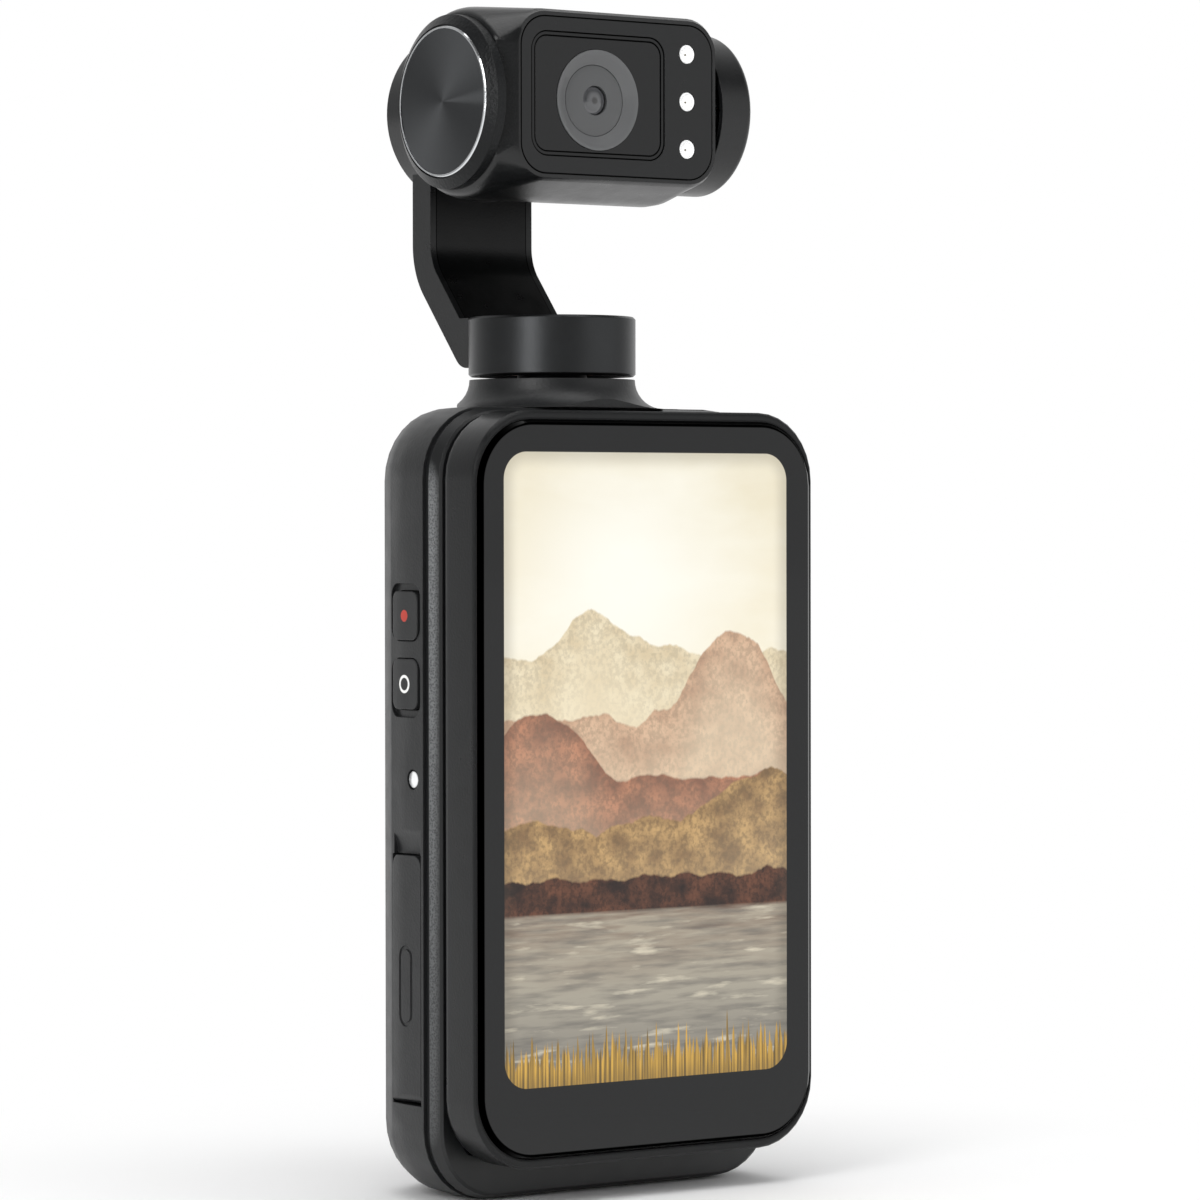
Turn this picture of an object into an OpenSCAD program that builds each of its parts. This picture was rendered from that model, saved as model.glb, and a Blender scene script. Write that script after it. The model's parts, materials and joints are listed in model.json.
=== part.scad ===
// Pocket gimbal camera: a hand grip with a turning screen, a pan drum, an arm and a camera head.
// Origin at the mouth of the tripod socket. X points right and Y away from a person who
// looks at the screen, Z points up. All lengths are in millimetres.

/* [Grip] */
// Width of the grip
body_w = 52.4; // [50.4:0.2:56]
// Height of the grip
body_h = 97.9; // [96:0.1:104]
// Pan axis to the front face of the grip
front_y = 12; // [11.6:0.1:13]
// Pan axis to the back face of the grip
back_y = 9; // [8.4:0.1:10]
// Corner radius of the grip seen from the front
corner_r = 9; // [8.4:0.1:10]
// Radius of the rounded back edges
rear_r = 14; // [13.4:0.1:15]
// Fall of the top towards the back
top_drop = 1.4; // [0.8:0.1:2]
// Rise of the bottom towards the back
bottom_rise = 3; // [2:0.1:3.6]
// Thickness of the grip walls
wall = 1.6; // [1.4:0.05:1.7]
// Depth of the front frame
frame_d = 3; // [2.8:0.1:3.3]
// Width of the groove behind the front frame
groove_w = 1.1; // [0.8:0.1:1.3]
// Depth of the groove behind the front frame
groove_deep = 0.45; // [0.2:0.05:0.6]

/* [Screen] */
// Width of the turning screen slab
slab_w = 52.4; // [50:0.2:54]
// Height of the turning screen slab
slab_h = 92.6; // [89:0.05:93]
// Thickness of the slab frame
slab_t = 7; // [6.6:0.1:8]
// Corner radius of the slab
slab_corner = 8.5; // [8:0.1:10]
// Gap between the grip and the slab
slab_gap = 1; // [0.8:0.05:1.4]
// Height of the turning axis of the screen
pivot_z = 51; // [50:0.1:51.4]
// Radius of the hub that carries the slab
hub_r = 8; // [7:0.1:8.6]
// Thickness of the cover glass
glass_t = 1.07; // [0.9:0.01:1.3]
// Side of the slab to the side of the glass
glass_edge = 0.45; // [0.35:0.05:0.7]
// Top of the slab to the top of the glass, and the same at the bottom
glass_end = 1.2; // [0.5:0.05:1.4]

/* [Neck and pan drum] */
// Radius of the neck
neck_r = 10.5; // [10.3:0.1:11]
// Height of the neck above the grip
neck_h = 3.7; // [3.2:0.1:5]
// Gap between the neck and the drum
pan_slit = 0.4; // [0.3:0.05:0.8]
// Radius of the drum
drum_r = 10.6; // [10.4:0.1:11]
// Height of the drum
drum_h = 7.54; // [7.2:0.02:9]
// Thickness of the top of the drum
drum_top_t = 1.5; // [1.2:0.1:2]

/* [Motors] */
// Radius of the motor shafts
shaft_r = 1.97; // [1.7:0.01:2.1]
// Outer radius of the bearings
bearing_r = 3.5; // [3.4:0.02:3.6]
// Thickness of the bearings
bearing_h = 1.5; // [1.2:0.1:1.5]
// Outer radius of the stators
stator_r = 8.2; // [8:0.05:8.25]
// Air gap between a stator and its magnets
air_gap = 0.3; // [0.2:0.02:0.34]
// Thickness of the magnets
magnet_t = 0.8; // [0.6:0.05:0.84]

/* [Arm] */
// Width of the arm
arm_w = 16; // [14:0.2:17]
// Thickness of the arm
arm_t = 4; // [3.8:0.1:4.6]
// Pan axis to the front face of the arm
arm_front = 15.5; // [15.3:0.05:16.2]
// Inner radius of the bend
bend_r = 6; // [5:0.1:6.4]
// Roll axis down to the centre of the bend
bend_down = 16.8; // [16:0.1:18]
// Top of the drum up to the roll axis
axis_up = 26.56; // [26:0.02:30]
// Outer radius of the roll motor cup
cup_r = 11.1; // [10.6:0.05:11.2]
// Depth of the roll motor cup
cup_d = 5.9; // [5.8:0.05:6.6]

/* [Head] */
// Radius of the round part of the head
head_r = 12.05; // [11.95:0.05:12.2]
// Tilt axis centre to the left end of the head shell
head_left = 14.8; // [14.4:0.1:16]
// Tilt axis centre to the right end of the head shell
head_right = 19; // [18.8:0.05:19.6]
// Width of the flat face
face_w = 31.75; // [31:0.05:32]
// Height of the flat face
face_h = 21.4; // [20:0.1:21.8]
// Tilt axis to the flat face
face_y = 9.9; // [9.7:0.05:10.4]
// Corner radius of the flat face
face_r = 4.5; // [4:0.1:5]
// Outer radius of the lens ring
lens_ring_r = 6.3; // [6:0.05:6.6]
// Radius of the lens seen from the front
lens_r = 1.75; // [1.5:0.05:2.4]
// Radius of the brushed disc on the left end
disc_r = 9.1; // [8.6:0.05:9.2]
// Thickness of the end cap
end_cap_t = 2.1; // [1.9:0.05:2.6]
// Radius of the tilt motor cup
tilt_cup_r = 10.4; // [10.3:0.01:10.8]

/* [Buttons and door] */
// Travel of the two buttons on the left
left_travel = 0.4; // [0.3:0.05:0.45]
// Travel of the two buttons on the right
right_travel = 0.35; // [0.25:0.05:0.45]
// Height of a button above the side wall
button_proud = 0.15; // [0.1:0.01:0.3]
// Gap round a button
button_gap = 0.12; // [0.08:0.01:0.2]
// Radius of the record button
record_r = 3.1; // [2.6:0.05:3.2]
// Bottom of the lower left button
lock_z = 60.6; // [60.2:0.1:61]
// Height of the lower left button
lock_h = 6.2; // [5.6:0.1:6.4]
// Height of the upper left button
ir_h = 6; // [5.4:0.1:6.6]
// Radius of the rounded hinge end of the door
hinge_r = 1.3; // [1.1:0.05:1.3]
// Height of the hinge pin
hinge_z = 13.3; // [13:0.1:14]
// Height of the top of the door
door_top = 42.6; // [42:0.1:43]

/* [Tripod socket] */
// Outer radius of the threaded insert
insert_r = 5; // [4.6:0.1:5.4]
// Radius of the threaded bore
socket_r = 3.175; // [2.5:0.005:3.5]
// Depth of the threaded bore
socket_d = 5.5; // [4.5:0.1:6]

/* [Hidden] */
$fn = 96;
hull_fn = 32;
// One overrun for every cut, and the thickness of a slice that only shapes a hull
over = 1;
slice = 0.02;
hull_slice = 0.2;
// Clearance of a piece that is seated in a bore or a pocket, and of a loose fit
seat = 0.02;
fit = 0.05;

// Grip, derived
part_y = -front_y + frame_d;
strip_y = part_y - groove_w;
rear_cy = back_y - rear_r;
rear_cx = body_w/2 - rear_r;
mid_z = body_h/2;
strip_lean = 0.55;
strip_root = 0.13;
edge_bevel = 0.25;
edge_inset = 0.9;
spigot_gap = 0.1;
spigot_t = 1.2;
spigot_d = 1.5;
spigot_reach = 12;
spigot_out = wall + spigot_gap;
front_in_y = -front_y + wall;

// Screws that hold the front frame
screw_edge = 5.4;
screw_x = body_w/2 - screw_edge;
screw_dz = 7.4;
screw_boss_r = 2.6;
screw_head_r = 1.4;
screw_head_h = 0.8;
screw_r = 0.8;
screw_len = 6.5;
screw_sink = 0.9;
screw_hole_r = 0.9;

// Main board, its posts and its chips
board_t = 1;
board_set = 3.8;
board_side = 4.6;
board_down = 9.9;
board_y = -front_y + board_set;
board_x = body_w/2 - board_side;
board_z0 = 12;
board_z1 = body_h - board_down;
board_r = 2;
board_hole_r = 2;
post_r = 1.6;
post_side = 8.7;
post_x = body_w/2 - post_side;
post_dz = 3.2;
chip_t = 0.8;

// Battery and the ribs behind it
battery_left = 10.7;
battery_right = 5.7;
battery_down = 19.9;
battery_x0 = -body_w/2 + battery_left;
battery_x1 = body_w/2 - battery_right;
battery_z0 = 20;
battery_z1 = body_h - battery_down;
battery_t = 9;
battery_gap = 1.8;
battery_r = 1.5;
battery_y = board_y + board_t + battery_gap;
rib_t = 2;
rib_inset = 8;
rib_w = 28;

// Left and right side
side_in = body_w/2 - wall;
side_steps = 10;
seat_margin = 0.75;
side_seam = 0.6;
recess_y0 = part_y + side_seam;
recess_w = 6.8;
recess_deep = 0.6;
recess_r = 1.6;
recess_end = 1;
button_in = 0.4;
button_y0 = recess_y0 + button_in;
button_w = 5.6;
button_r = 1.2;
bridge_h = 2.3;
ir_z = lock_z + lock_h + bridge_h;
flange_t = 0.5;
flange_edge = 0.5;
flange_gap = 0.1;
flange_x = side_in - flange_gap;
switch_t = 0.9;
switch_w = 3;
switch_h = 3.5;
switch_gap = 0.1;
side_board_t = 0.8;
switch_x = flange_x - flange_t - left_travel - switch_gap;
right_switch_x = flange_x - flange_t - right_travel - switch_gap;
record_z = 68;
power_z = 52.5;
power_h = 9;
power_w = 3.2;
right_seam = 3.8;
right_y = part_y + right_seam;
light_z = 52;
light_r = 1.2;
light_seam = 2.15;
light_y = part_y + light_seam;
light_proud = 0.15;
light_in = 4.2;

// Door over the ports
door_y0 = part_y + side_seam;
door_w = 6.5;
door_gap = 0.12;
door_round = 1.5;
pin_r = 0.5;
pin_over = 0.45;
pin_x = body_w/2 - hinge_r;
scoop_d = 1;
scoop_h = 3.3;
scoop_w = 6.2;
scoop_r = (scoop_d*scoop_d + scoop_h*scoop_h)/(2*scoop_d);
mark_z = 21.5;
mark_h = 10;
mark_w = 3;
mark_line = 0.5;
mark_deep = 0.15;
gasket_t = 0.4;
gasket_rim = 0.5;
gasket_edge = 0.5;
gasket_z0 = 17;

// Ports behind the door
usb_side = 2.2;
usb_len = 7;
usb_x1 = body_w/2 - usb_side;
usb_x0 = usb_x1 - usb_len;
usb_z = 19;
usb_h = 9;
usb_t = 3.2;
usb_mouth_h = 8.3;
usb_mouth_t = 2.5;
usb_mouth_d = 6;
usb_tongue_t = 0.7;
usb_tongue_h = 6.6;
usb_tongue_d = 4.6;
card_side = 2.3;
card_len = 14.6;
card_x1 = body_w/2 - card_side;
card_x0 = card_x1 - card_len;
card_z = 31;
card_h = 11.5;
card_t = 1.5;
card_mouth_t = 0.9;
card_mouth_d = 11;
card_wall = 0.3;

// Tripod socket
insert_h = 7;
insert_pad = 1.6;
insert_roof = 1.5;

// Speaker
speaker_side = 0.9;
speaker_x = insert_r + insert_pad + speaker_side;
speaker_end = 8.7;
speaker_w = body_w/2 - speaker_x - speaker_end;
speaker_d = 6.6;
speaker_h = 4;
speaker_seam = 1.7;
speaker_y = part_y + speaker_seam;
speaker_gap = 0.3;
speaker_hole_r = 0.5;
speaker_holes = 5;
speaker_hole_in = 2;
speaker_pitch = (speaker_w - 2*speaker_hole_in)/(speaker_holes - 1);

// Neck
neck_top = body_h + neck_h;
neck_wall = 1.1;
neck_bore_r = neck_r - neck_wall;
neck_hole_r = 8.2;
flare_r = neck_r + neck_h;
neck_flat = 0.4;
bulge_low = 14;
bulge_high = 3;

// Motors
tube_r = bearing_r + seat;
tube_wall = 0.9;
tube_out = tube_r + tube_wall;
stator_in = tube_out + seat;
core_t = 1;
tooth_w = 1.5;
coil_w = 2.3;
coil_in = 0.3;
coil_h = 0.6;
shoe_t = 0.8;
slots = 9;
slot_w = 1;
magnet_in = stator_r + air_gap;
magnet_out = magnet_in + magnet_t;
magnet_count = 12;
magnet_split = 0.3;
race_t = 0.5;
shield_sink = 0.15;
run_gap = 0.03;
rotor_gap = 0.4;
end_gap = 0.3;
rotor_r = magnet_out;

// Pan stage
drum_z = neck_top + pan_slit;
drum_top = drum_z + drum_h;
drum_in_r = magnet_out + seat;
drum_edge = 0.3;
drum_ceiling = drum_top - drum_top_t;
base_tube_low = 3.4;
base_recess_r0 = 5;
base_recess_r1 = 8;
base_recess_d = 2.5;
stator_lift = 0.4;
pan_stator_z = drum_z + stator_lift;
pan_stator_h = 4.6;
pan_magnet_h = 5;
tube_room = 0.64;
pan_tube_top = drum_ceiling - tube_room;
pan_shaft_low = 4.9;
bearing_drop = 2.9;
bearing_in = 2.4;
bearing_low_z = body_h - bearing_drop;
bearing_high_z = pan_tube_top - bearing_in;

// Arm
axis_z = drum_top + axis_up;
bend_y = arm_front - bend_r;
bend_z = axis_z - bend_down;
bend_steps = 14;
foot_lift = 1.2;
foot_in = 1.75;
foot_r = 3;
foot_steps = 8;
flat_lift = 1.1;
drum_flat = 0.85;
foot_z = drum_z + foot_lift;
foot_y = drum_r - foot_in;
flat_z = foot_z + flat_lift;
drum_flat_y = drum_r - drum_flat;
wrap_y = 4;
bend_out = bend_r + arm_t;
foot_dist = norm([bend_y - foot_y, bend_z - foot_z]);
bend_angle = 90 - atan2(bend_z - foot_z, bend_y - foot_y) + asin(bend_out/foot_dist);
cup_lead = 0.1;
cup_front = arm_front - cup_lead;
cup_floor = 1.2;
cup_back = cup_front + cup_d;
cup_cavity_r = rotor_r + rotor_gap;
cup_edge = 0.5;
cover_w = 13.8;
cover_t = 0.8;
cover_sink = 0.15;
cover_low = 3.2;
cover_step = 0.6;
cover_lap = 0.3;
cover_off = arm_t - cover_sink - cover_t;
cable_w = 8.6;
cable_t = 0.3;
channel_w = 9;
channel_t = 0.7;
cable_low = 6;
cable_back = 0.2;

// Roll stage
tube_set = 0.5;
roll_tube_y = cup_front + tube_set;
roll_tube_h = cup_d - cup_floor - tube_set;
roll_face_y = roll_tube_y - end_gap;
roll_gap = 0.65;
roll_disc_back = cup_front - roll_gap;
roll_disc_t = 1.8;
roll_disc_front = roll_disc_back - roll_disc_t;
roll_stator_in = 0.5;
roll_stator_y = roll_tube_y + roll_stator_in;
roll_stator_h = 3.2;
roll_magnet_gap = 0.2;
roll_magnet_h = roll_tube_h - roll_magnet_gap;
bar_h = 14;
tilt_gap = 0.4;
tilt_in_x = head_right + tilt_gap;
tilt_floor = 1.9;
tilt_cup_d = 5;
tilt_out_x = tilt_in_x + tilt_cup_d;
tilt_edge = 1;
tilt_stator_in = 0.3;
tilt_tube_x = tilt_in_x + tube_set;
tilt_stator_x = tilt_tube_x + tilt_stator_in;
tilt_stator_h = 2;
tilt_boss_out = 0.05;
tilt_boss_x = head_right + tilt_boss_out;
tilt_boss_t = 0.7;
tilt_magnet_h = 2.95;
bracket_corner = 5;

// Screen slab, derived
slab_back_y = -front_y - slab_gap;
slab_front_y = slab_back_y - slab_t;
slab_edge_r = 1.3;
slab_chamfer = 0.3;
slab_floor = 1.4;
slab_rim = 2;
glass_proud_share = 0.44;
glass_front_y = slab_front_y - glass_t*glass_proud_share;
glass_back_y = glass_front_y + glass_t;
glass_bevel = 0.5;
glass_bevel_x = 0.65;
glass_bevel_z = 0.33;
glass_lip = 0.2;
panel_t = 1.8;
screen_board_t = 1;
screen_board_inset = 3;
hub_in_r = 6;
hub_flange_r = 11;
hub_flange_t = 1.2;
hub_end_gap = 0.2;
hub_end_y = part_y - hub_end_gap;
hub_groove_w = 0.8;
hub_groove_d = 0.42;
hub_groove_in = 0.3;
hub_groove_y = hub_end_y - hub_groove_in;
retainer_r = 10.5;
retainer_split = 4;
hub_screw_circle = 9.5;
hub_screw_count = 3;
hub_screw_r = 0.5;
hub_screw_head_r = 0.95;
hub_screw_head_h = 0.6;
hub_screw_len = 2.2;
washer_clear = 0.3;
washer_in_r = hub_r + washer_clear;
washer_r = 13;
washer_gap = 0.1;
ribbon_w = 6;
ribbon_t = 0.3;
ribbon_gap = 0.4;

// Head, derived
face_right = 0.03;
face_cx = head_right - face_right - face_w/2;
face_cz = 0.65;
face_bevel = 0.4;
face_bevel_d = 0.6;
face_flat_d = 1.3;
shoulder_r = 1.15;
shoulder_x = 2.6;
head_right_round = 4.3;
head_steps = 5;
head_cut_y = 9.6;
head_left_y = 8.6;
head_wall = 1.5;
head_left_wall = 2;
head_right_wall = 1.6;
head_front_cut = 8.4;
face_rim = 0.85;
face_plate_t = 0.8;
face_plate_r = 3.8;
pocket_inset = 1.5;
pocket_d = 4;
window_x = 0.1;
window_z = 0.83;
window_w = 20.7;
window_h = 15.5;
window_r = 2.4;
bezel_t = 0.6;
bezel_sink = 0.1;
bezel_d = 0.95;
glass_sink = 0.12;
window_glass_d = 0.85;
lens_z = 0.3;
ring_in_r = 4.5;
ring_lip = 0.25;
ring_funnel_d = 0.85;
ring_d = 1;
barrel_r = 4.4;
barrel_front_d = 0.95;
barrel_wall_front = 1.6;
barrel_flange_r = 6.2;
barrel_flange_t = 1;
barrel_bore_r = 3.2;
barrel_len = 7.35;
lens_d = 1.1;
lens_t = 1.4;
rear_lens_d = 4;
rear_lens_t = 1.8;
sensor_w = 16;
sensor_h = 12;
sensor_t = 1;
led_x = 14.07;
led_z = 0.77;
led_edge = 4.68;
led_pitch = face_h/2 - led_edge;
led_r = 1.2;
led_len = 1.7;
cap_front_r = 9.6;
cap_rim_r = 10.9;
cap_bevel = 0.9;
cap_recess = 0.7;
trim_w = 0.43;
trim_proud = 0.05;
disc_sink = 0.05;

// Rounded rectangle, drawn about its middle; with r of half its width it has round ends
module rounded_rect(w, h, r) {
    if (w - 2*r > slice) square([w - 2*r, h], center = true);
    if (h - 2*r > slice) square([w, h - 2*r], center = true);
    for (sx = [-1, 1], sy = [-1, 1])
        translate([sx*(w/2 - r), sy*(h/2 - r)]) circle(r);
}

// Upright plate with rounded corners from y0 back to y1, its middle at x, z
module plate_y(w, h, r, y0, y1, x, z) {
    translate([x, y1, z]) rotate([90, 0, 0]) linear_extrude(y1 - y0) rounded_rect(w, h, r);
}

// Plate that faces sideways from x0 to x1, its middle at y, z
module plate_x(w, h, r, x0, x1, y, z) {
    translate([x0, y, z]) rotate([90, 0, 90]) linear_extrude(x1 - x0) rounded_rect(w, h, r);
}

// Cylinder along Y from y0 back to y1
module rod_y(r, y0, y1, x = 0, z = 0) {
    translate([x, y1, z]) rotate([90, 0, 0]) cylinder(h = y1 - y0, r = r);
}

// Cylinder along X from x0 to x1
module rod_x(r, x0, x1, y = 0, z = 0) {
    translate([x0, y, z]) rotate([0, 90, 0]) cylinder(h = x1 - x0, r = r);
}

// Box between two corners
module block(low, high) {
    translate(low) cube(high - low);
}

// Ring along Z
module ring(r_out, r_in, h) {
    difference() {
        cylinder(h = h, r = r_out);
        translate([0, 0, -over]) cylinder(h = h + 2*over, r = r_in);
    }
}

// Places a part that is drawn along +Z so that it runs back along Y, or right along X
module along_y(y, z) {
    translate([0, y, z]) rotate([-90, 0, 0]) children();
}
module along_x(x, z) {
    translate([x, 0, z]) rotate([0, 90, 0]) children();
}

// Half width of the grip at y, moved out by off
function side_x(y, off) = y < rear_cy ? rear_cx + rear_r + off :
    rear_cx + sqrt(pow(rear_r + off, 2) - pow(y - rear_cy, 2));

// Solid that follows the side of the grip, from x_in out to the side moved by off
module side_solid(y0, y1, z0, z1, x_in, off) {
    rim = [for (i = [0:side_steps]) let (y = y0 + (y1 - y0)*i/side_steps) [side_x(y, off), y]];
    translate([0, 0, z0]) linear_extrude(z1 - z0)
        polygon(concat([[x_in, y0]], rim, [[x_in, y1]]));
}

// Layer of the side wall down to a depth, seen from the side as a rounded rectangle
module side_recess(y, z, w, h, r, depth) {
    intersection() {
        difference() {
            side_solid(y - w, y + w, z - h, z + h, side_in - over, over);
            side_solid(y - w - over, y + w + over, z - h - over, z + h + over, side_in - 2*over, -depth);
        }
        plate_x(w, h, r, side_in - over, body_w/2 + over, y, z);
    }
}

// Motor parts, each drawn along +Z from its own base
module stator(h) {
    linear_extrude(h) difference() {
        union() {
            difference() {
                circle(stator_in + core_t);
                circle(stator_in);
            }
            for (i = [0:slots - 1]) rotate(i*360/slots)
                translate([stator_in + core_t/2, -tooth_w/2])
                    square([stator_r - shoe_t/2 - stator_in - core_t/2, tooth_w]);
            difference() {
                circle(stator_r);
                circle(stator_r - shoe_t);
                for (i = [0:slots - 1]) rotate((i + 1/2)*360/slots)
                    translate([0, -slot_w/2]) square([stator_r + over, slot_w]);
            }
        }
        circle(stator_in - seat/2);
    }
    translate([0, 0, coil_h/2]) linear_extrude(h - coil_h)
        for (i = [0:slots - 1]) rotate(i*360/slots)
            translate([stator_in + core_t + coil_in, -coil_w/2])
                square([stator_r - shoe_t - coil_in - stator_in - core_t, coil_w]);
}

module magnets(h) {
    linear_extrude(h) difference() {
        circle(magnet_out);
        circle(magnet_in);
        for (i = [0:magnet_count - 1]) rotate(i*360/magnet_count)
            translate([0, -magnet_split/2]) square([magnet_out + over, magnet_split]);
    }
}

module bearing() {
    difference() {
        cylinder(h = bearing_h, r = bearing_r);
        translate([0, 0, -over]) cylinder(h = bearing_h + 2*over, r = shaft_r + run_gap);
        for (z = [-over, bearing_h - shield_sink]) translate([0, 0, z])
            ring(bearing_r - race_t, shaft_r + run_gap + race_t, shield_sink + over);
    }
}

// Grip shell behind the front frame, drawn in by inset on every side
module back_body(inset, front) {
    r = rear_r - inset;
    hull() {
        plate_y(body_w - 2*inset, body_h - 2*inset, corner_r - inset, front, rear_cy, 0, mid_z,
            $fn = hull_fn);
        for (a = [15:15:90])
            plate_y(2*(rear_cx + r*cos(a)), body_h - 2*inset - (top_drop + bottom_rise)*(1 - cos(a)),
                corner_r - inset, rear_cy + r*sin(a) - hull_slice, rear_cy + r*sin(a), 0,
                mid_z + (bottom_rise - top_drop)*(1 - cos(a))/2, $fn = hull_fn);
    }
}

// Part of a shape that lies behind the given y
module behind(y) intersection() {
    children();
    block([-body_w, y, 0], [body_w, body_w, neck_top + over]);
}

// Neck with its hollow flare. The flare's foot is set forward, so at the back the neck stays plain.
module neck() {
    flare = [for (a = [0:10:90]) [flare_r - neck_h*cos(a), neck_top - neck_h*sin(a)]];
    behind(-front_y + neck_flat) {
        intersection() {
            rotate_extrude() polygon(concat([[0, neck_top]], flare, [[0, body_h]]));
            translate([0, -neck_h, body_h - over]) cylinder(h = neck_h + 2*over, r = flare_r);
        }
    }
    behind(part_y) translate([0, -neck_h, body_h - bulge_high])
        cylinder(h = bulge_high + slice, r = flare_r);
    // Soft bulge that carries the neck where it stands out behind the back face
    behind(0) translate([0, -neck_h, body_h - bulge_low])
        cylinder(h = bulge_low - bulge_high, r1 = back_y + neck_h, r2 = flare_r);
}

// Posts and ribs inside the grip, before they are trimmed to the shell
module inner_posts() {
    for (sx = [-1, 1], z = [screw_dz, body_h - screw_dz])
        rod_y(screw_boss_r, rear_cy, back_y, sx*screw_x, z);
    for (sx = [-1, 1], z = [board_z0 + post_dz, board_z1 - post_dz])
        rod_y(post_r, board_y + board_t, back_y, sx*post_x, z);
    rib_x = (battery_x0 + battery_x1 - rib_w)/2;
    for (z = [battery_z0 + rib_inset, battery_z1 - rib_inset - rib_t])
        block([rib_x, battery_y + battery_t, z], [rib_x + rib_w, back_y, z + rib_t]);
}

module rear_housing() color("#3c3e41") difference() {
    union() {
        difference() {
            union() {
                back_body(0, part_y);
                neck();
            }
            back_body(wall, part_y - over);
        }
        intersection() {
            inner_posts();
            back_body(wall/2, part_y);
        }
        for (sx = [-1, 1], z = [screw_dz, body_h - screw_dz])
            rod_y(screw_boss_r, front_in_y, rear_cy + slice, sx*screw_x, z);
        cylinder(h = insert_h + insert_roof, r = insert_r + insert_pad);
    }
    // Tripod socket
    translate([0, 0, -over]) cylinder(h = insert_h + over, r = insert_r + seat);
    // Neck bore
    translate([0, 0, body_h]) cylinder(h = neck_h + over, r = neck_bore_r);
    translate([0, 0, body_h - bulge_low]) cylinder(h = bulge_low + over, r = neck_hole_r);
    // Screw holes
    for (sx = [-1, 1], z = [screw_dz, body_h - screw_dz])
        rod_y(screw_r + seat, front_in_y - over, -front_y + screw_sink + screw_len + fit, sx*screw_x, z);
    // Speaker holes
    for (i = [0:speaker_holes - 1])
        translate([speaker_x + speaker_w/2 + (i - (speaker_holes - 1)/2)*speaker_pitch,
            speaker_y + speaker_d/2, -over]) cylinder(h = wall + 2*over, r = speaker_hole_r);
    mirror([1, 0, 0]) left_cuts();
    right_cuts();
}

// Cuts in the left side, drawn on the right
module left_cuts() {
    mid_y = recess_y0 + recess_w/2;
    recess_h = lock_h + recess_end;
    side_recess(mid_y, lock_z + lock_h - recess_h/2, recess_w, recess_h, recess_r, recess_deep);
    side_recess(mid_y, ir_z + (ir_h + recess_end)/2, recess_w, ir_h + recess_end, recess_r, recess_deep);
    for (b = [[lock_z, lock_h], [ir_z, ir_h]]) {
        plate_x(button_w + 2*button_gap, b[1] + 2*button_gap, button_r + button_gap,
            side_in - over, body_w/2 + over, button_y0 + button_w/2, b[0] + b[1]/2);
        block([side_in - 2*over, part_y - over, b[0] - seat_margin],
            [side_in, button_y0 + button_w + seat_margin, b[0] + b[1] + seat_margin]);
    }
    rod_x(light_r + fit, side_in - over, body_w/2 + over, light_y, light_z);
    // Door opening, hinge pin holes and the scoop for a nail
    block([side_in - over, door_y0 - door_gap, hinge_z - hinge_r - door_gap],
        [body_w/2 + over, door_y0 + door_w + door_gap, door_top + door_gap]);
    rod_y(pin_r + seat, door_y0 - door_gap - pin_over, door_y0 + door_w + door_gap + pin_over + fit,
        pin_x, hinge_z);
    rod_y(scoop_r, door_y0, door_y0 + scoop_w, body_w/2 - scoop_d + scoop_r, door_top);
}

module right_cuts() {
    rod_x(record_r + button_gap, side_in - over, body_w/2 + over, right_y, record_z);
    plate_x(power_w + 2*button_gap, power_h + 2*button_gap, power_w/2 + button_gap,
        side_in - over, body_w/2 + over, right_y, power_z);
    for (b = [[record_z, record_r, record_r], [power_z, power_h/2, power_w/2]])
        block([side_in - 2*over, right_y - b[2] - seat_margin, b[0] - b[1] - seat_margin],
            [side_in, right_y + b[2] + seat_margin, b[0] + b[1] + seat_margin]);
}

module front_frame() color("#4a4c4f") difference() {
    union() {
        hull() {
            for (s = [[-front_y, edge_inset], [-front_y + edge_bevel, strip_lean],
                [strip_y - slice, strip_root]])
                plate_y(body_w - 2*s[1], body_h - 2*s[1], corner_r - s[1], s[0], s[0] + slice, 0, mid_z,
                    $fn = hull_fn);
        }
        plate_y(body_w - 2*groove_deep, body_h - 2*groove_deep, corner_r - groove_deep,
            strip_y - slice, part_y, 0, mid_z);
        difference() {
            plate_y(body_w - 2*spigot_out, body_h - 2*spigot_out, corner_r - spigot_out,
                part_y - slice, part_y + spigot_d, 0, mid_z);
            block([-body_w, part_y, spigot_reach], [body_w, part_y + spigot_d + over, body_h - spigot_reach]);
        }
    }
    spigot_in = spigot_out + spigot_t;
    plate_y(body_w - 2*spigot_in, body_h - 2*spigot_in, corner_r - spigot_in,
        front_in_y, part_y + spigot_d + over, 0, mid_z);
    rod_y(hub_r + fit, -front_y - over, part_y, 0, pivot_z);
    for (sx = [-1, 1], z = [screw_dz, body_h - screw_dz]) {
        rod_y(screw_boss_r + spigot_gap, front_in_y, part_y + spigot_d + over, sx*screw_x, z);
        rod_y(screw_hole_r, -front_y - over, front_in_y + over, sx*screw_x, z);
        rod_y(screw_head_r + 2*spigot_gap, -front_y - over, -front_y + screw_sink, sx*screw_x, z);
    }
}

module housing_screws() color("#2c2c2e")
    for (sx = [-1, 1], z = [screw_dz, body_h - screw_dz]) difference() {
        union() {
            rod_y(screw_head_r, -front_y + screw_sink - screw_head_h, -front_y + screw_sink, sx*screw_x, z);
            rod_y(screw_r, -front_y + screw_sink - slice, -front_y + screw_sink + screw_len, sx*screw_x, z);
        }
        for (a = [0, 90]) translate([sx*screw_x, 0, z]) rotate([0, a, 0])
            block([-screw_r, -front_y, -screw_r/4],
                [screw_r, -front_y + screw_sink - screw_head_h/2, screw_r/4]);
    }

module tripod_insert() color("#c9a65a") difference() {
    cylinder(h = insert_h, r = insert_r);
    translate([0, 0, -over]) cylinder(h = socket_d + over, r = socket_r);
}

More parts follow.
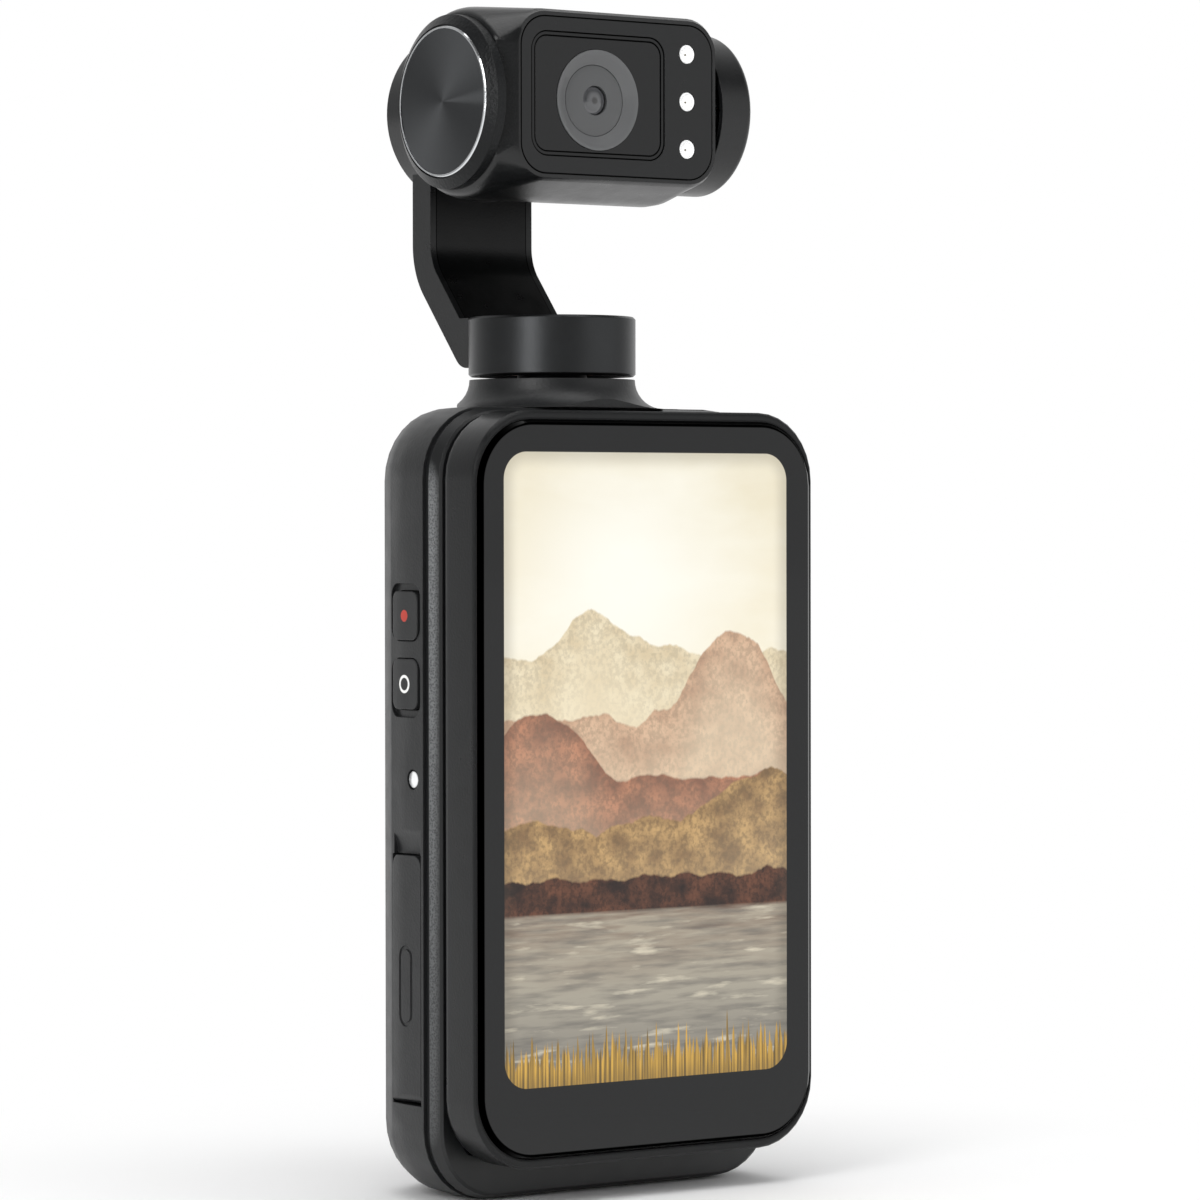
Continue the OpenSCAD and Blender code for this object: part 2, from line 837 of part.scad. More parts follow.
module battery() color("#4b6fa5")
    plate_y(battery_x1 - battery_x0, battery_z1 - battery_z0, battery_r, battery_y, battery_y + battery_t,
        (battery_x0 + battery_x1)/2, (battery_z0 + battery_z1)/2);

module main_board() color("#1f6b45") difference() {
    plate_y(2*board_x, board_z1 - board_z0, board_r, board_y, board_y + board_t, 0, (board_z0 + board_z1)/2);
    rod_y(board_hole_r, board_y - over, board_y + board_t + over, post_x - 2*post_r, board_z1 - post_dz);
}

// Chips on the front of the main board: place and size as shares of its half width and height
chip_shares = [[-0.5, 0.86, 0.5, 0.12], [0.45, 0.84, 0.32, 0.1], [0, 0.14, 0.6, 0.13],
    [-0.65, 0.3, 0.28, 0.09]];
module board_chips() color("#26282b")
    for (c = chip_shares)
        plate_y(2*board_x*c[2], (board_z1 - board_z0)*c[3], chip_t/2, board_y - chip_t, board_y,
            board_x*c[0], board_z0 + (board_z1 - board_z0)*c[1]);

module button_boards() color("#1f6b45") {
    mirror([1, 0, 0]) plate_x(button_w, ir_z + ir_h - lock_z, flange_edge, switch_x - switch_t - side_board_t,
        switch_x - switch_t, button_y0 + button_w/2, (lock_z + ir_z + ir_h)/2);
    plate_x(button_w, record_z + record_r - power_z + power_h/2, flange_edge,
        right_switch_x - switch_t - side_board_t, right_switch_x - switch_t, right_y,
        (record_z + record_r + power_z - power_h/2)/2);
}

module tact_switches() color("#b9bbbd") {
    mirror([1, 0, 0]) for (z = [lock_z + lock_h/2, ir_z + ir_h/2])
        plate_x(switch_w, switch_h, flange_edge, switch_x - switch_t, switch_x, button_y0 + button_w/2, z);
    for (z = [record_z, power_z])
        plate_x(switch_w, switch_h, flange_edge, right_switch_x - switch_t, right_switch_x, right_y, z);
}

module status_light() color("#e8e8e4") mirror([1, 0, 0]) {
    rod_x(light_r, body_w/2 - light_in, body_w/2 - light_proud, light_y, light_z);
    along_x(body_w/2 - light_proud, light_z) translate([0, light_y, 0])
        cylinder(h = 2*light_proud, r1 = light_r, r2 = light_r - 2*light_proud);
}

module usb_socket() color("#b4b6b8") mirror([1, 0, 0]) {
    y = board_y + board_t;
    difference() {
        plate_x(usb_t, usb_h, usb_t/2, usb_x0, usb_x1, y + usb_t/2, usb_z + usb_h/2);
        plate_x(usb_mouth_t, usb_mouth_h, usb_mouth_t/2, usb_x1 - usb_mouth_d, usb_x1 + over,
            y + usb_t/2, usb_z + usb_h/2);
    }
    block([usb_x1 - usb_mouth_d - slice, y + usb_t/2 - usb_tongue_t/2, usb_z + usb_h/2 - usb_tongue_h/2],
        [usb_x1 - usb_mouth_d + usb_tongue_d, y + usb_t/2 + usb_tongue_t/2,
            usb_z + usb_h/2 + usb_tongue_h/2]);
}

module card_socket() color("#a9abad") mirror([1, 0, 0]) {
    y = board_y + board_t;
    difference() {
        block([card_x0, y, card_z], [card_x1, y + card_t, card_z + card_h]);
        block([card_x1 - card_mouth_d, y + (card_t - card_mouth_t)/2, card_z + card_wall],
            [card_x1 + over, y + (card_t + card_mouth_t)/2, card_z + card_h - card_wall]);
    }
}

module speaker() color("#55585c")
    block([speaker_x, speaker_y, wall + speaker_gap],
        [speaker_x + speaker_w, speaker_y + speaker_d, wall + speaker_gap + speaker_h]);

module pan_motor_base() color("#8d8f92") difference() {
    union() {
        translate([0, 0, body_h]) cylinder(h = neck_h, r = neck_bore_r - seat);
        translate([0, 0, body_h - base_tube_low])
            cylinder(h = pan_tube_top - body_h + base_tube_low, r = tube_out);
    }
    translate([0, 0, body_h - base_tube_low - over])
        cylinder(h = pan_tube_top - body_h + base_tube_low + 2*over, r = tube_r);
    translate([0, 0, body_h - over]) ring(base_recess_r1, base_recess_r0, base_recess_d + over);
}

module pan_stator() color("#b87333") translate([0, 0, pan_stator_z]) stator(pan_stator_h);

module pan_bearings() color("#c8cacc")
    for (z = [bearing_low_z, bearing_high_z]) translate([0, 0, z]) bearing();

module hub_washer() color("#d8d8d4") difference() {
    rod_y(washer_r, slab_back_y + washer_gap, -front_y, 0, pivot_z);
    rod_y(washer_in_r, slab_back_y - over, -front_y + over, 0, pivot_z);
}

module door_pin() color("#c8cacc") mirror([1, 0, 0])
    rod_y(pin_r, door_y0 - door_gap - pin_over + fit, door_y0 + door_w + door_gap + pin_over, pin_x, hinge_z);

module screen_flex_cable() color("#c98a3a")
    block([-ribbon_w/2, glass_back_y + panel_t + screen_board_t + ribbon_gap, pivot_z - ribbon_t/2],
        [ribbon_w/2, board_y, pivot_z + ribbon_t/2]);

// Buttons on the left, drawn on the right
module left_button(z, h) {
    mirror([1, 0, 0]) {
        intersection() {
            side_solid(button_y0, button_y0 + button_w, z, z + h, flange_x - flange_t, button_proud);
            plate_x(button_w, h, button_r, flange_x - flange_t, body_w/2 + button_proud + over,
                button_y0 + button_w/2, z + h/2);
        }
        plate_x(button_w + 2*flange_edge, h + 2*flange_edge, button_r, flange_x - flange_t, flange_x,
            button_y0 + button_w/2, z + h/2);
    }
}
module ir_button() color("#46484b") left_button(ir_z, ir_h);
module lock_button() color("#46484b") left_button(lock_z, lock_h);

module record_button() color("#a83232") {
    intersection() {
        rod_x(record_r, flange_x - flange_t, body_w/2 + button_proud, right_y, record_z);
        side_solid(right_y - record_r - over, right_y + record_r + over, record_z - record_r - over,
            record_z + record_r + over, flange_x - flange_t - over, button_proud);
    }
    rod_x(record_r + flange_edge, flange_x - flange_t, flange_x, right_y, record_z);
}

module power_button() color("#46484b") {
    intersection() {
        plate_x(power_w, power_h, power_w/2, flange_x - flange_t, body_w/2 + button_proud + over,
            right_y, power_z);
        side_solid(right_y - power_w, right_y + power_w, power_z - power_h, power_z + power_h,
            flange_x - flange_t - over, button_proud);
    }
    plate_x(power_w + 2*flange_edge, power_h + 2*flange_edge, power_w/2, flange_x - flange_t, flange_x,
        right_y, power_z);
}

module port_door() color("#3c3e41") mirror([1, 0, 0]) difference() {
    union() {
        intersection() {
            side_solid(door_y0, door_y0 + door_w, hinge_z, door_top, side_in, 0);
            plate_x(door_w, 2*(door_top - hinge_z), door_round, side_in - over, body_w/2 + over,
                door_y0 + door_w/2, hinge_z);
        }
        intersection() {
            side_solid(door_y0, door_y0 + door_w, hinge_z - hinge_r - over, hinge_z + hinge_r + over,
                pin_x - hinge_r - over, 0);
            rod_y(hinge_r, door_y0, door_y0 + door_w, pin_x, hinge_z);
        }
    }
    rod_y(pin_r + fit, door_y0 - over, door_y0 + door_w + over, pin_x, hinge_z);
    intersection() {
        side_recess(door_y0 + door_w/2, mark_z + mark_h/2, mark_w, mark_h, mark_w/2, mark_deep);
        difference() {
            plate_x(mark_w, mark_h, mark_w/2, side_in, body_w/2 + over,
                door_y0 + door_w/2, mark_z + mark_h/2);
            plate_x(mark_w - 2*mark_line, mark_h - 2*mark_line, mark_w/2 - mark_line, side_in - over,
                body_w/2 + 2*over, door_y0 + door_w/2, mark_z + mark_h/2);
        }
    }
}

module door_gasket() color("#202122") mirror([1, 0, 0]) difference() {
    y = door_y0 + door_w/2;
    h = door_top - gasket_edge - gasket_z0;
    z = gasket_z0 + h/2;
    plate_x(door_w - 2*gasket_edge, h, door_round, side_in - gasket_t, side_in, y, z);
    plate_x(door_w - 2*gasket_edge - 2*gasket_rim, h - 2*gasket_rim, door_round - gasket_rim,
        side_in - gasket_t - over, side_in + over, y, z);
}

// Slab outline drawn in by an amount, from y0 back to y1
module slab_plate(inset, y0, y1) {
    plate_y(slab_w - 2*inset, slab_h - 2*inset, slab_corner - inset, y0, y1, 0, pivot_z);
}

// Outline of the glass drawn in by an amount at its sides and at its ends
module glass_plate(inset, end_inset, corner, y0, y1) {
    plate_y(slab_w - 2*(glass_edge + inset), slab_h - 2*(glass_end + end_inset),
        slab_corner - glass_edge - corner, y0, y1, 0, pivot_z);
}

module screen_frame() color("#3a3b3d") difference() {
    hull() {
        slab_plate(slab_chamfer, slab_front_y, slab_front_y + slab_chamfer, $fn = hull_fn);
        slab_plate(0, slab_front_y + slab_chamfer, slab_back_y - slab_edge_r, $fn = hull_fn);
        for (a = [30:30:90]) let (y = slab_back_y - slab_edge_r*(1 - sin(a)))
            slab_plate(slab_edge_r*(1 - cos(a)), y - hull_slice, y, $fn = hull_fn);
    }
    glass_plate(-fit, -fit, -fit, slab_front_y - over, glass_back_y);
    slab_plate(slab_rim, glass_back_y - over, slab_back_y - slab_floor);
    rod_y(hub_r + fit, slab_front_y, slab_back_y + over, 0, pivot_z);
    hub_holes() rod_y(hub_screw_r + fit, slab_back_y - slab_floor - over,
        slab_back_y - slab_floor - hub_flange_t + hub_screw_len + fit);
}

// Places something at each screw of the hub
module hub_holes() {
    for (i = [0:hub_screw_count - 1]) translate([0, 0, pivot_z]) rotate([0, 90 + i*360/hub_screw_count, 0])
        translate([hub_screw_circle, 0, 0]) children();
}

module cover_glass() color("#1b1c1e") union() {
    hull() {
        glass_plate(glass_bevel_x, glass_bevel_z, glass_bevel, glass_front_y, glass_front_y + slice,
            $fn = hull_fn);
        glass_plate(0, 0, 0, slab_front_y, glass_back_y, $fn = hull_fn);
    }
}

module display_panel() color("#5f7f8f")
    slab_plate(slab_rim + glass_lip, glass_back_y, glass_back_y + panel_t);

module screen_board() color("#1f6b45")
    slab_plate(screen_board_inset, glass_back_y + panel_t, glass_back_y + panel_t + screen_board_t);

module screen_hub() color("#a9abae") difference() {
    flange_y = slab_back_y - slab_floor;
    union() {
        rod_y(hub_r, flange_y - slice, hub_end_y, 0, pivot_z);
        rod_y(hub_flange_r, flange_y - hub_flange_t, flange_y, 0, pivot_z);
    }
    rod_y(hub_in_r, flange_y - hub_flange_t - over, hub_end_y + over, 0, pivot_z);
    difference() {
        rod_y(hub_r + over, hub_groove_y - hub_groove_w, hub_groove_y, 0, pivot_z);
        rod_y(hub_r - hub_groove_d, hub_groove_y - hub_groove_w - over, hub_groove_y + over, 0, pivot_z);
    }
    hub_holes() rod_y(hub_screw_r + fit, flange_y - hub_flange_t - over, flange_y + over);
}

module hub_retainer() color("#c8cacc") difference() {
    rod_y(retainer_r, hub_groove_y - hub_groove_w + fit, hub_groove_y - fit, 0, pivot_z);
    rod_y(hub_r - hub_groove_d + seat, hub_groove_y - hub_groove_w - over, hub_groove_y + over, 0, pivot_z);
    block([-retainer_split/2, hub_groove_y - hub_groove_w - over, pivot_z - retainer_r - over],
        [retainer_split/2, hub_groove_y + over, pivot_z]);
}

module hub_screws() color("#2c2c2e") hub_holes() {
    y = slab_back_y - slab_floor - hub_flange_t;
    rod_y(hub_screw_head_r, y - hub_screw_head_h, y);
    rod_y(hub_screw_r, y - slice, y + hub_screw_len);
}

// Plain drum with softened rims, closed at the top
module pan_drum() color("#8b8d8f") difference() {
    translate([0, 0, drum_z]) union() {
        cylinder(h = drum_edge, r1 = drum_r - drum_edge, r2 = drum_r);
        translate([0, 0, drum_edge]) cylinder(h = drum_h - 2*drum_edge, r = drum_r);
        translate([0, 0, drum_h - drum_edge]) cylinder(h = drum_edge, r1 = drum_r, r2 = drum_r - drum_edge);
    }
    translate([0, 0, drum_z - over]) cylinder(h = drum_h - drum_top_t + over, r = drum_in_r);
    block([-drum_r, drum_flat_y, flat_z], [drum_r, drum_r + over, drum_top + over]);
}

module pan_shaft() color("#d0d2d4")
    translate([0, 0, body_h - pan_shaft_low])
        cylinder(h = drum_ceiling - body_h + pan_shaft_low, r = shaft_r);

module pan_magnets() color("#6e7073") translate([0, 0, pan_stator_z]) magnets(pan_magnet_h);

// Side view of a layer of the arm: off is the distance behind its front face
function arm_path(off, top, foot) = let (
    arc = [for (i = [0:bend_steps]) let (a = bend_angle*i/bend_steps)
        [bend_y + (bend_r + off)*cos(a), bend_z - (bend_r + off)*sin(a)]],
    last = arc[bend_steps],
    run = (last[1] - foot)/cos(bend_angle))
    concat([[bend_y + bend_r + off, top]], arc,
        [[last[0] - run*sin(bend_angle), last[1] - run*cos(bend_angle)]]);

function reversed(list) = [for (i = [len(list) - 1:-1:0]) list[i]];

// Lower end of a layer of the arm
function arm_end(off, foot) = arm_path(off, axis_z, foot)[bend_steps + 2];

// Round heel from the back of the foot to its bottom, seen from the side
foot_end = arm_end(arm_t, foot_z);
heel_y = foot_end[0] - foot_r*(1 - sin(bend_angle))/cos(bend_angle);
heel_back = 2;
heel = [for (i = [0:foot_steps]) let (a = -bend_angle - (90 - bend_angle)*i/foot_steps)
    [heel_y + foot_r*cos(a), foot_z + foot_r + foot_r*sin(a)]];

// Side view in Y and Z made as wide as w
module side_view(w) {
    rotate([90, 0, 90]) translate([0, 0, -w/2]) linear_extrude(w) children();
}

// Bent strip of the arm between two distances behind its front face
module arm_strip(w, off0, off1, top, foot) {
    side_view(w) polygon(concat(arm_path(off0, top, foot), reversed(arm_path(off1, top, foot))));
}

module gimbal_arm() color("#3e4043") difference() {
    union() {
        arm_strip(arm_w, 0, arm_t, axis_z, foot_z);
        side_view(arm_w) polygon([[wrap_y, foot_z], [wrap_y, drum_top], arm_end(0, drum_top),
            arm_end(arm_t, drum_top), foot_end]);
        along_y(cup_front, axis_z) {
            cylinder(h = cup_d - cup_edge, r = cup_r);
            translate([0, 0, cup_d - cup_edge]) cylinder(h = cup_edge, r1 = cup_r, r2 = cup_r - cup_edge);
        }
    }
    // Room for the drum, which is flat where the arm is bolted to its back
    difference() {
        translate([0, 0, foot_z - over]) cylinder(h = drum_top - foot_z + over, r = drum_r + seat);
        block([-drum_r, drum_flat_y + seat, flat_z + seat], [drum_r, drum_r + over, drum_top + over]);
    }
    // Round heel of the foot
    side_view(arm_w + 2*over) polygon(concat(heel, [[heel_y, foot_z - over],
        [foot_end[0] + heel_back, foot_z - over], [heel[0][0] + heel_back, heel[0][1]]]));
    // Motor cup
    difference() {
        rod_y(cup_cavity_r, cup_front - over, cup_back - cup_floor, 0, axis_z);
        rod_y(tube_out, roll_tube_y, cup_back, 0, axis_z);
    }
    rod_y(tube_r, roll_tube_y - over, cup_back - cup_floor, 0, axis_z);
    // Seat of the cover, and the channel of the flat cable below it
    arm_strip(cover_w + 2*fit, cover_off, arm_t + over, axis_z - cup_r + cover_step - cover_lap,
        foot_z + cover_low);
    arm_strip(channel_w, cover_off - channel_t, cover_off + slice,
        axis_z - cup_r + cover_step, foot_z + cable_low);
}

module arm_cover() color("#35373a") difference() {
    arm_strip(cover_w, cover_off, arm_t - cover_sink, axis_z - cup_r + cover_step - cover_lap - fit,
        foot_z + cover_low + fit);
    rod_y(cup_r + fit, cup_front, cup_back + over, 0, axis_z);
}

module arm_flex_cable() color("#c98a3a") {
    cable_off = cover_off - channel_t + cable_back;
    arm_strip(cable_w, cable_off, cable_off + cable_t,
        axis_z - cup_r + cover_step - fit, foot_z + cable_low + fit);
}

module roll_stator() color("#b87333") along_y(roll_stator_y, axis_z) stator(roll_stator_h);

module roll_bearings() color("#c8cacc")
    for (y = [roll_tube_y, cup_back - cup_floor - bearing_h - seat]) along_y(y, axis_z) bearing();

// Bent bar of the roll bracket seen from above, with a rounded outer corner
module bracket_plan() difference() {
    union() {
        square([tilt_out_x - tilt_edge - bracket_corner, roll_disc_back]);
        square([tilt_out_x - tilt_edge, roll_disc_back - bracket_corner]);
        translate([tilt_out_x - tilt_edge - bracket_corner, roll_disc_back - bracket_corner])
            circle(bracket_corner);
    }
    translate([-over, -over]) square([tilt_in_x + over, roll_disc_front + over]);
}

module roll_bracket() color("#45474a") difference() {
    union() {
        rod_y(cup_r, roll_disc_front, roll_disc_back, 0, axis_z);
        rod_y(rotor_r, roll_disc_back - slice, roll_face_y, 0, axis_z);
        translate([0, 0, axis_z - bar_h/2]) linear_extrude(bar_h) bracket_plan();
        along_x(tilt_in_x, axis_z) {
            cylinder(h = tilt_cup_d - tilt_edge, r = tilt_cup_r);
            translate([0, 0, tilt_cup_d - tilt_edge]) rotate_extrude() {
                square([tilt_cup_r - tilt_edge, tilt_edge]);
                translate([tilt_cup_r - tilt_edge, 0]) intersection() {
                    circle(tilt_edge);
                    square([tilt_edge, tilt_edge]);
                }
            }
        }
    }
    difference() {
        rod_x(cup_cavity_r, tilt_in_x - over, tilt_out_x - tilt_floor, 0, axis_z);
        rod_x(tube_out, tilt_tube_x, tilt_out_x, 0, axis_z);
    }
    rod_x(tube_r, tilt_tube_x - over, tilt_out_x - tilt_floor, 0, axis_z);
}

module roll_shaft() color("#d0d2d4")
    rod_y(shaft_r, roll_face_y, cup_back - cup_floor - end_gap/2, 0, axis_z);

module roll_magnets() color("#6e7073") along_y(roll_face_y, axis_z) magnets(roll_magnet_h);

module tilt_stator() color("#b87333") along_x(tilt_stator_x, axis_z) stator(tilt_stator_h);

module tilt_bearing() color("#c8cacc") along_x(tilt_tube_x + tilt_edge/2, axis_z) bearing();

// Outline of the round part of the head: distance from the axis, then place along it
function head_outline() = concat(
    [[0, -head_left]],
    [for (i = [0:head_steps]) let (a = 90*i/head_steps)
        [head_r - shoulder_r + shoulder_r*sin(a), -head_left + shoulder_x - shoulder_x*cos(a)]],
    [for (i = [0:head_steps]) let (a = 90*i/head_steps)
        [head_r - head_right_round + head_right_round*cos(a),
        head_right - head_right_round + head_right_round*sin(a)]],
    [[0, head_right]]);

// Flat face drawn in by an amount, from depth d0 to depth d1
module face_layer(inset, r, d0, d1) {
    plate_y(face_w - 2*inset, face_h - 2*inset, r, -face_y + d0, -face_y + d1, face_cx, face_cz);
}

module head_shell() color("#3f4144") translate([0, 0, axis_z]) difference() {
    union() {
        hull() {
            intersection() {
                rotate([0, 90, 0]) rotate_extrude($fn = 2*hull_fn) polygon(head_outline());
                // Flat front, which slants back towards the left end
                translate([0, 0, -head_r - over]) linear_extrude(2*(head_r + over))
                    polygon([[-head_left - over, -head_left_y], [-head_left, -head_left_y],
                        [-head_left + shoulder_x, -head_cut_y], [head_right + over, -head_cut_y],
                        [head_right + over, head_r + over], [-head_left - over, head_r + over]]);
            }
            face_layer(face_bevel, face_r - face_bevel, 0, slice, $fn = hull_fn);
            face_layer(0, face_r, face_bevel_d, face_flat_d, $fn = hull_fn);
        }
        rod_x(rotor_r, tilt_boss_x - tilt_boss_t, tilt_boss_x);
    }
    intersection() {
        rod_x(head_r - head_wall, -head_left + head_left_wall, head_right - head_right_wall);
        block([-head_left, -head_front_cut, -head_r], [head_right, head_r, head_r]);
    }
    face_layer(pocket_inset, face_r - pocket_inset, face_plate_t - slice, pocket_d);
    face_layer(face_rim, face_plate_r, -over, face_plate_t);
}

module face_plate() color("#3a3c3f") translate([0, 0, axis_z]) difference() {
    face_layer(face_rim + fit, face_plate_r - fit, 0, face_plate_t);
    plate_y(window_w + 2*fit, window_h + 2*fit, window_r + fit, -face_y - over, -face_y + face_plate_t + over,
        window_x, window_z);
    for (i = [-1:1])
        rod_y(led_r + fit, -face_y - over, -face_y + face_plate_t + over, led_x, led_z + i*led_pitch);
}

module window_bezel() color("#2b2c2e") translate([0, 0, axis_z]) difference() {
    plate_y(window_w, window_h, window_r, -face_y + bezel_sink, -face_y + bezel_d, window_x, window_z);
    plate_y(window_w - 2*bezel_t, window_h - 2*bezel_t, window_r - bezel_t,
        -face_y - over, -face_y + bezel_d + over, window_x, window_z);
}

module lens_window() color("#191a1c") translate([0, 0, axis_z]) difference() {
    plate_y(window_w - 2*bezel_t - 2*fit, window_h - 2*bezel_t - 2*fit, window_r - bezel_t - fit,
        -face_y + glass_sink, -face_y + window_glass_d, window_x, window_z);
    rod_y(lens_ring_r + fit, -face_y - over, -face_y + window_glass_d + over, 0, lens_z);
}

// Round pieces of the lens are drawn along +Z, from the face inwards
module lens_place(depth) {
    translate([0, -face_y + depth, axis_z + lens_z]) rotate([-90, 0, 0]) children();
}

module lens_ring() color("#5a5c5e") lens_place(0) difference() {
    cylinder(h = ring_d, r = lens_ring_r);
    translate([0, 0, -over]) cylinder(h = ring_d + 2*over, r = ring_in_r);
    cylinder(h = ring_funnel_d, r1 = lens_ring_r - ring_lip, r2 = ring_in_r);
}

module lens_barrel() color("#242527") lens_place(barrel_front_d) difference() {
    union() {
        cylinder(h = barrel_len, r = barrel_r);
        translate([0, 0, ring_d - barrel_front_d]) cylinder(h = barrel_flange_t, r = barrel_flange_r);
    }
    translate([0, 0, -over]) cylinder(h = barrel_wall_front + 2*over, r = lens_r + fit);
    translate([0, 0, barrel_wall_front]) cylinder(h = barrel_len, r = barrel_bore_r);
}

module front_lens() color("#4a5878") lens_place(lens_d) cylinder(h = lens_t, r = lens_r);

module rear_lens() color("#5a6888") lens_place(rear_lens_d)
    cylinder(h = rear_lens_t, r = barrel_bore_r - fit);

module sensor_board() color("#1f6b45") translate([0, 0, axis_z])
    plate_y(sensor_w, sensor_h, sensor_t/2, -face_y + barrel_front_d + barrel_len,
        -face_y + barrel_front_d + barrel_len + sensor_t, 0, lens_z);

module ir_leds() color("#e6e8ea") translate([0, 0, axis_z])
    for (i = [-1:1]) rod_y(led_r, -face_y, -face_y + led_len, led_x, led_z + i*led_pitch);

// The left end of the head is drawn along +Z from the end of the shell outwards
module left_end(d) {
    translate([-head_left - d, 0, axis_z]) rotate([0, -90, 0]) children();
}

module end_cap() color("#2f3133") left_end(0) difference() {
    union() {
        cylinder(h = end_cap_t - cap_bevel, r = cap_rim_r);
        translate([0, 0, end_cap_t - cap_bevel]) cylinder(h = cap_bevel, r1 = cap_rim_r, r2 = cap_front_r);
    }
    translate([0, 0, end_cap_t - cap_recess])
        cylinder(h = cap_recess + over, r = disc_r + seat + trim_w + seat);
}

module disc_trim_ring() color("#c6c8ca") left_end(end_cap_t - cap_recess) difference() {
    h = cap_recess + trim_proud;
    union() {
        cylinder(h = h - trim_w/2, r = disc_r + seat + trim_w);
        translate([0, 0, h - trim_w/2])
            cylinder(h = trim_w/2, r1 = disc_r + seat + trim_w, r2 = disc_r + seat + trim_w/2);
    }
    translate([0, 0, -over]) cylinder(h = h + 2*over, r = disc_r + seat);
}

module brushed_disc() color("#77797c") left_end(end_cap_t - cap_recess)
    cylinder(h = cap_recess - disc_sink, r = disc_r);

module tilt_shaft() color("#d0d2d4")
    rod_x(shaft_r, tilt_boss_x, tilt_out_x - tilt_floor - fit, 0, axis_z);

module tilt_magnets() color("#6e7073") along_x(tilt_boss_x, axis_z) magnets(tilt_magnet_h);

rear_housing();
front_frame();
housing_screws();
tripod_insert();
battery();
main_board();
board_chips();
button_boards();
tact_switches();
status_light();
usb_socket();
card_socket();
speaker();
pan_motor_base();
pan_stator();
pan_bearings();
hub_washer();
door_pin();
screen_flex_cable();
ir_button();
lock_button();
record_button();
power_button();
port_door();
door_gasket();
screen_frame();
cover_glass();
display_panel();
screen_board();
screen_hub();
hub_retainer();
hub_screws();
pan_drum();
pan_shaft();
pan_magnets();
gimbal_arm();
arm_cover();
arm_flex_cable();
roll_stator();
roll_bearings();
roll_bracket();
roll_shaft();
roll_magnets();
tilt_stator();
tilt_bearing();
head_shell();
face_plate();
window_bezel();
lens_window();
lens_ring();
lens_barrel();
front_lens();
rear_lens();
ir_leds();
end_cap();
disc_trim_ring();
brushed_disc();
sensor_board();
tilt_shaft();
tilt_magnets();
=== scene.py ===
import json
import math

import bmesh
import bpy
from mathutils import Matrix, Vector


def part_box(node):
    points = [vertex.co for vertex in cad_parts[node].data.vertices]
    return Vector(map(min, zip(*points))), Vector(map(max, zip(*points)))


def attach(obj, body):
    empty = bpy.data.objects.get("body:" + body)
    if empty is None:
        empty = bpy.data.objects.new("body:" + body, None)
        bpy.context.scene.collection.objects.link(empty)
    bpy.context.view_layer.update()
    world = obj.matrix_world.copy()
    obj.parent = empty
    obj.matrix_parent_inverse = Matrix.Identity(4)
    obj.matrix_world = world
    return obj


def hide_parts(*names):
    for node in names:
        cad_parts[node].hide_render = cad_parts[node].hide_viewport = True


# Looks of a pocket gimbal camera. X points right and Y away from a person who looks at the screen.
# Sizes are in millimetres and are turned into metres by MM.
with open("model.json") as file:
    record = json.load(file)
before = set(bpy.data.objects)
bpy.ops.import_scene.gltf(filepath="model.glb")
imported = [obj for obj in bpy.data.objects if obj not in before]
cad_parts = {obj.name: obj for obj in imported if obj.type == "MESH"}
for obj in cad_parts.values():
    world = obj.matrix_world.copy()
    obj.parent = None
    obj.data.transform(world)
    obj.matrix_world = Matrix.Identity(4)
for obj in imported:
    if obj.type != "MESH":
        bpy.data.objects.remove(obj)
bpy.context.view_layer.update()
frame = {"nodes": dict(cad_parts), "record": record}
nodes = frame["nodes"]
MM = 0.001

# Camera, fitted to the outlines of the grip, the screen, the drum and the head
IMAGE_SIDE = 1200
CAMERA_PLACE = Vector((-379.154, -521.674, 83.259)) * MM
CAMERA_YAW = math.radians(-36.546)
CAMERA_PITCH = math.radians(-0.848)
CAMERA_ROLL = math.radians(-0.088)
FOCAL_PIXELS = 5081.728
SENSOR_WIDTH = 36
NEAREST = 10
FURTHEST = 50000

# Lit area of the screen, seen from the front
LIT_LEFT = -22.13
LIT_RIGHT = 21.62
LIT_LOW = 14.66
LIT_TOP = 92.16
LIT_CORNER = 3.4
LIT_DEPTH = 0.3
SCREEN_GLOW = 0.62

# Shade inside the edge of the lit area, and corners and black rim of the glass
SHADE_WIDTH = 2.4
SHADE_LEVEL = 0.72
GLASS_CORNER = 8.05
GLASS_RIM = 0.72

# Studio light: level of the room, and what gloss sees behind the object and in front of it
ROOM_LIGHT = 0.55
TO_CAMERA = (-0.588, -0.809, 0.0)
GLOSS_BEHIND = 1.0
GLOSS_FRONT = 0.1
BEHIND = -0.9
FRONT = 0.0
TO_MIRRORED = (0.588, -0.809, 0.0)
GLOSS_MIRRORED = 0.9
MIRRORED_EDGE = 0.80
MIRRORED_FULL = 0.93
LIGHTS_AIM = Vector((0, 0, 75)) * MM
SOFTBOXES = [
    # Name, place, width and height, radiance, and whether gloss shows it
    ("left_box", (-640, -283, 330), (250, 760), 4.2, True),
    ("right_box", (482, -509, 160), (640, 900), 0.85, False),
    ("top_box", (0, -60, 760), (620, 620), 2.2, True),
]

# Stippled strip on the sides of the front frame, pale with a painted highlight: its two ends, the length over
# which it fades out there, its depth from the front and how far it reaches inwards from the side
STRIP_LOW = 4
STRIP_TOP = 93
STRIP_FADE = 7
STRIP_DEPTH = 1.95
STRIP_INNER = 0.45
STRIP_OUTER = 0.2

# Corners of the satin face plate and of the glossy bezel in it, the bezel's rim, and the gaps round both
FACE_CORNER = 3.8
BEZEL_CORNER = 2.4
BEZEL_RIM = 0.6
GAP_LINE = 0.13
GAP_BLUR = 0.03

# Seam round the darker inlay in the front of the arm: its distance from the middle, and its width
ARM_SEAM = 7.15
SEAM_WIDTH = 0.2
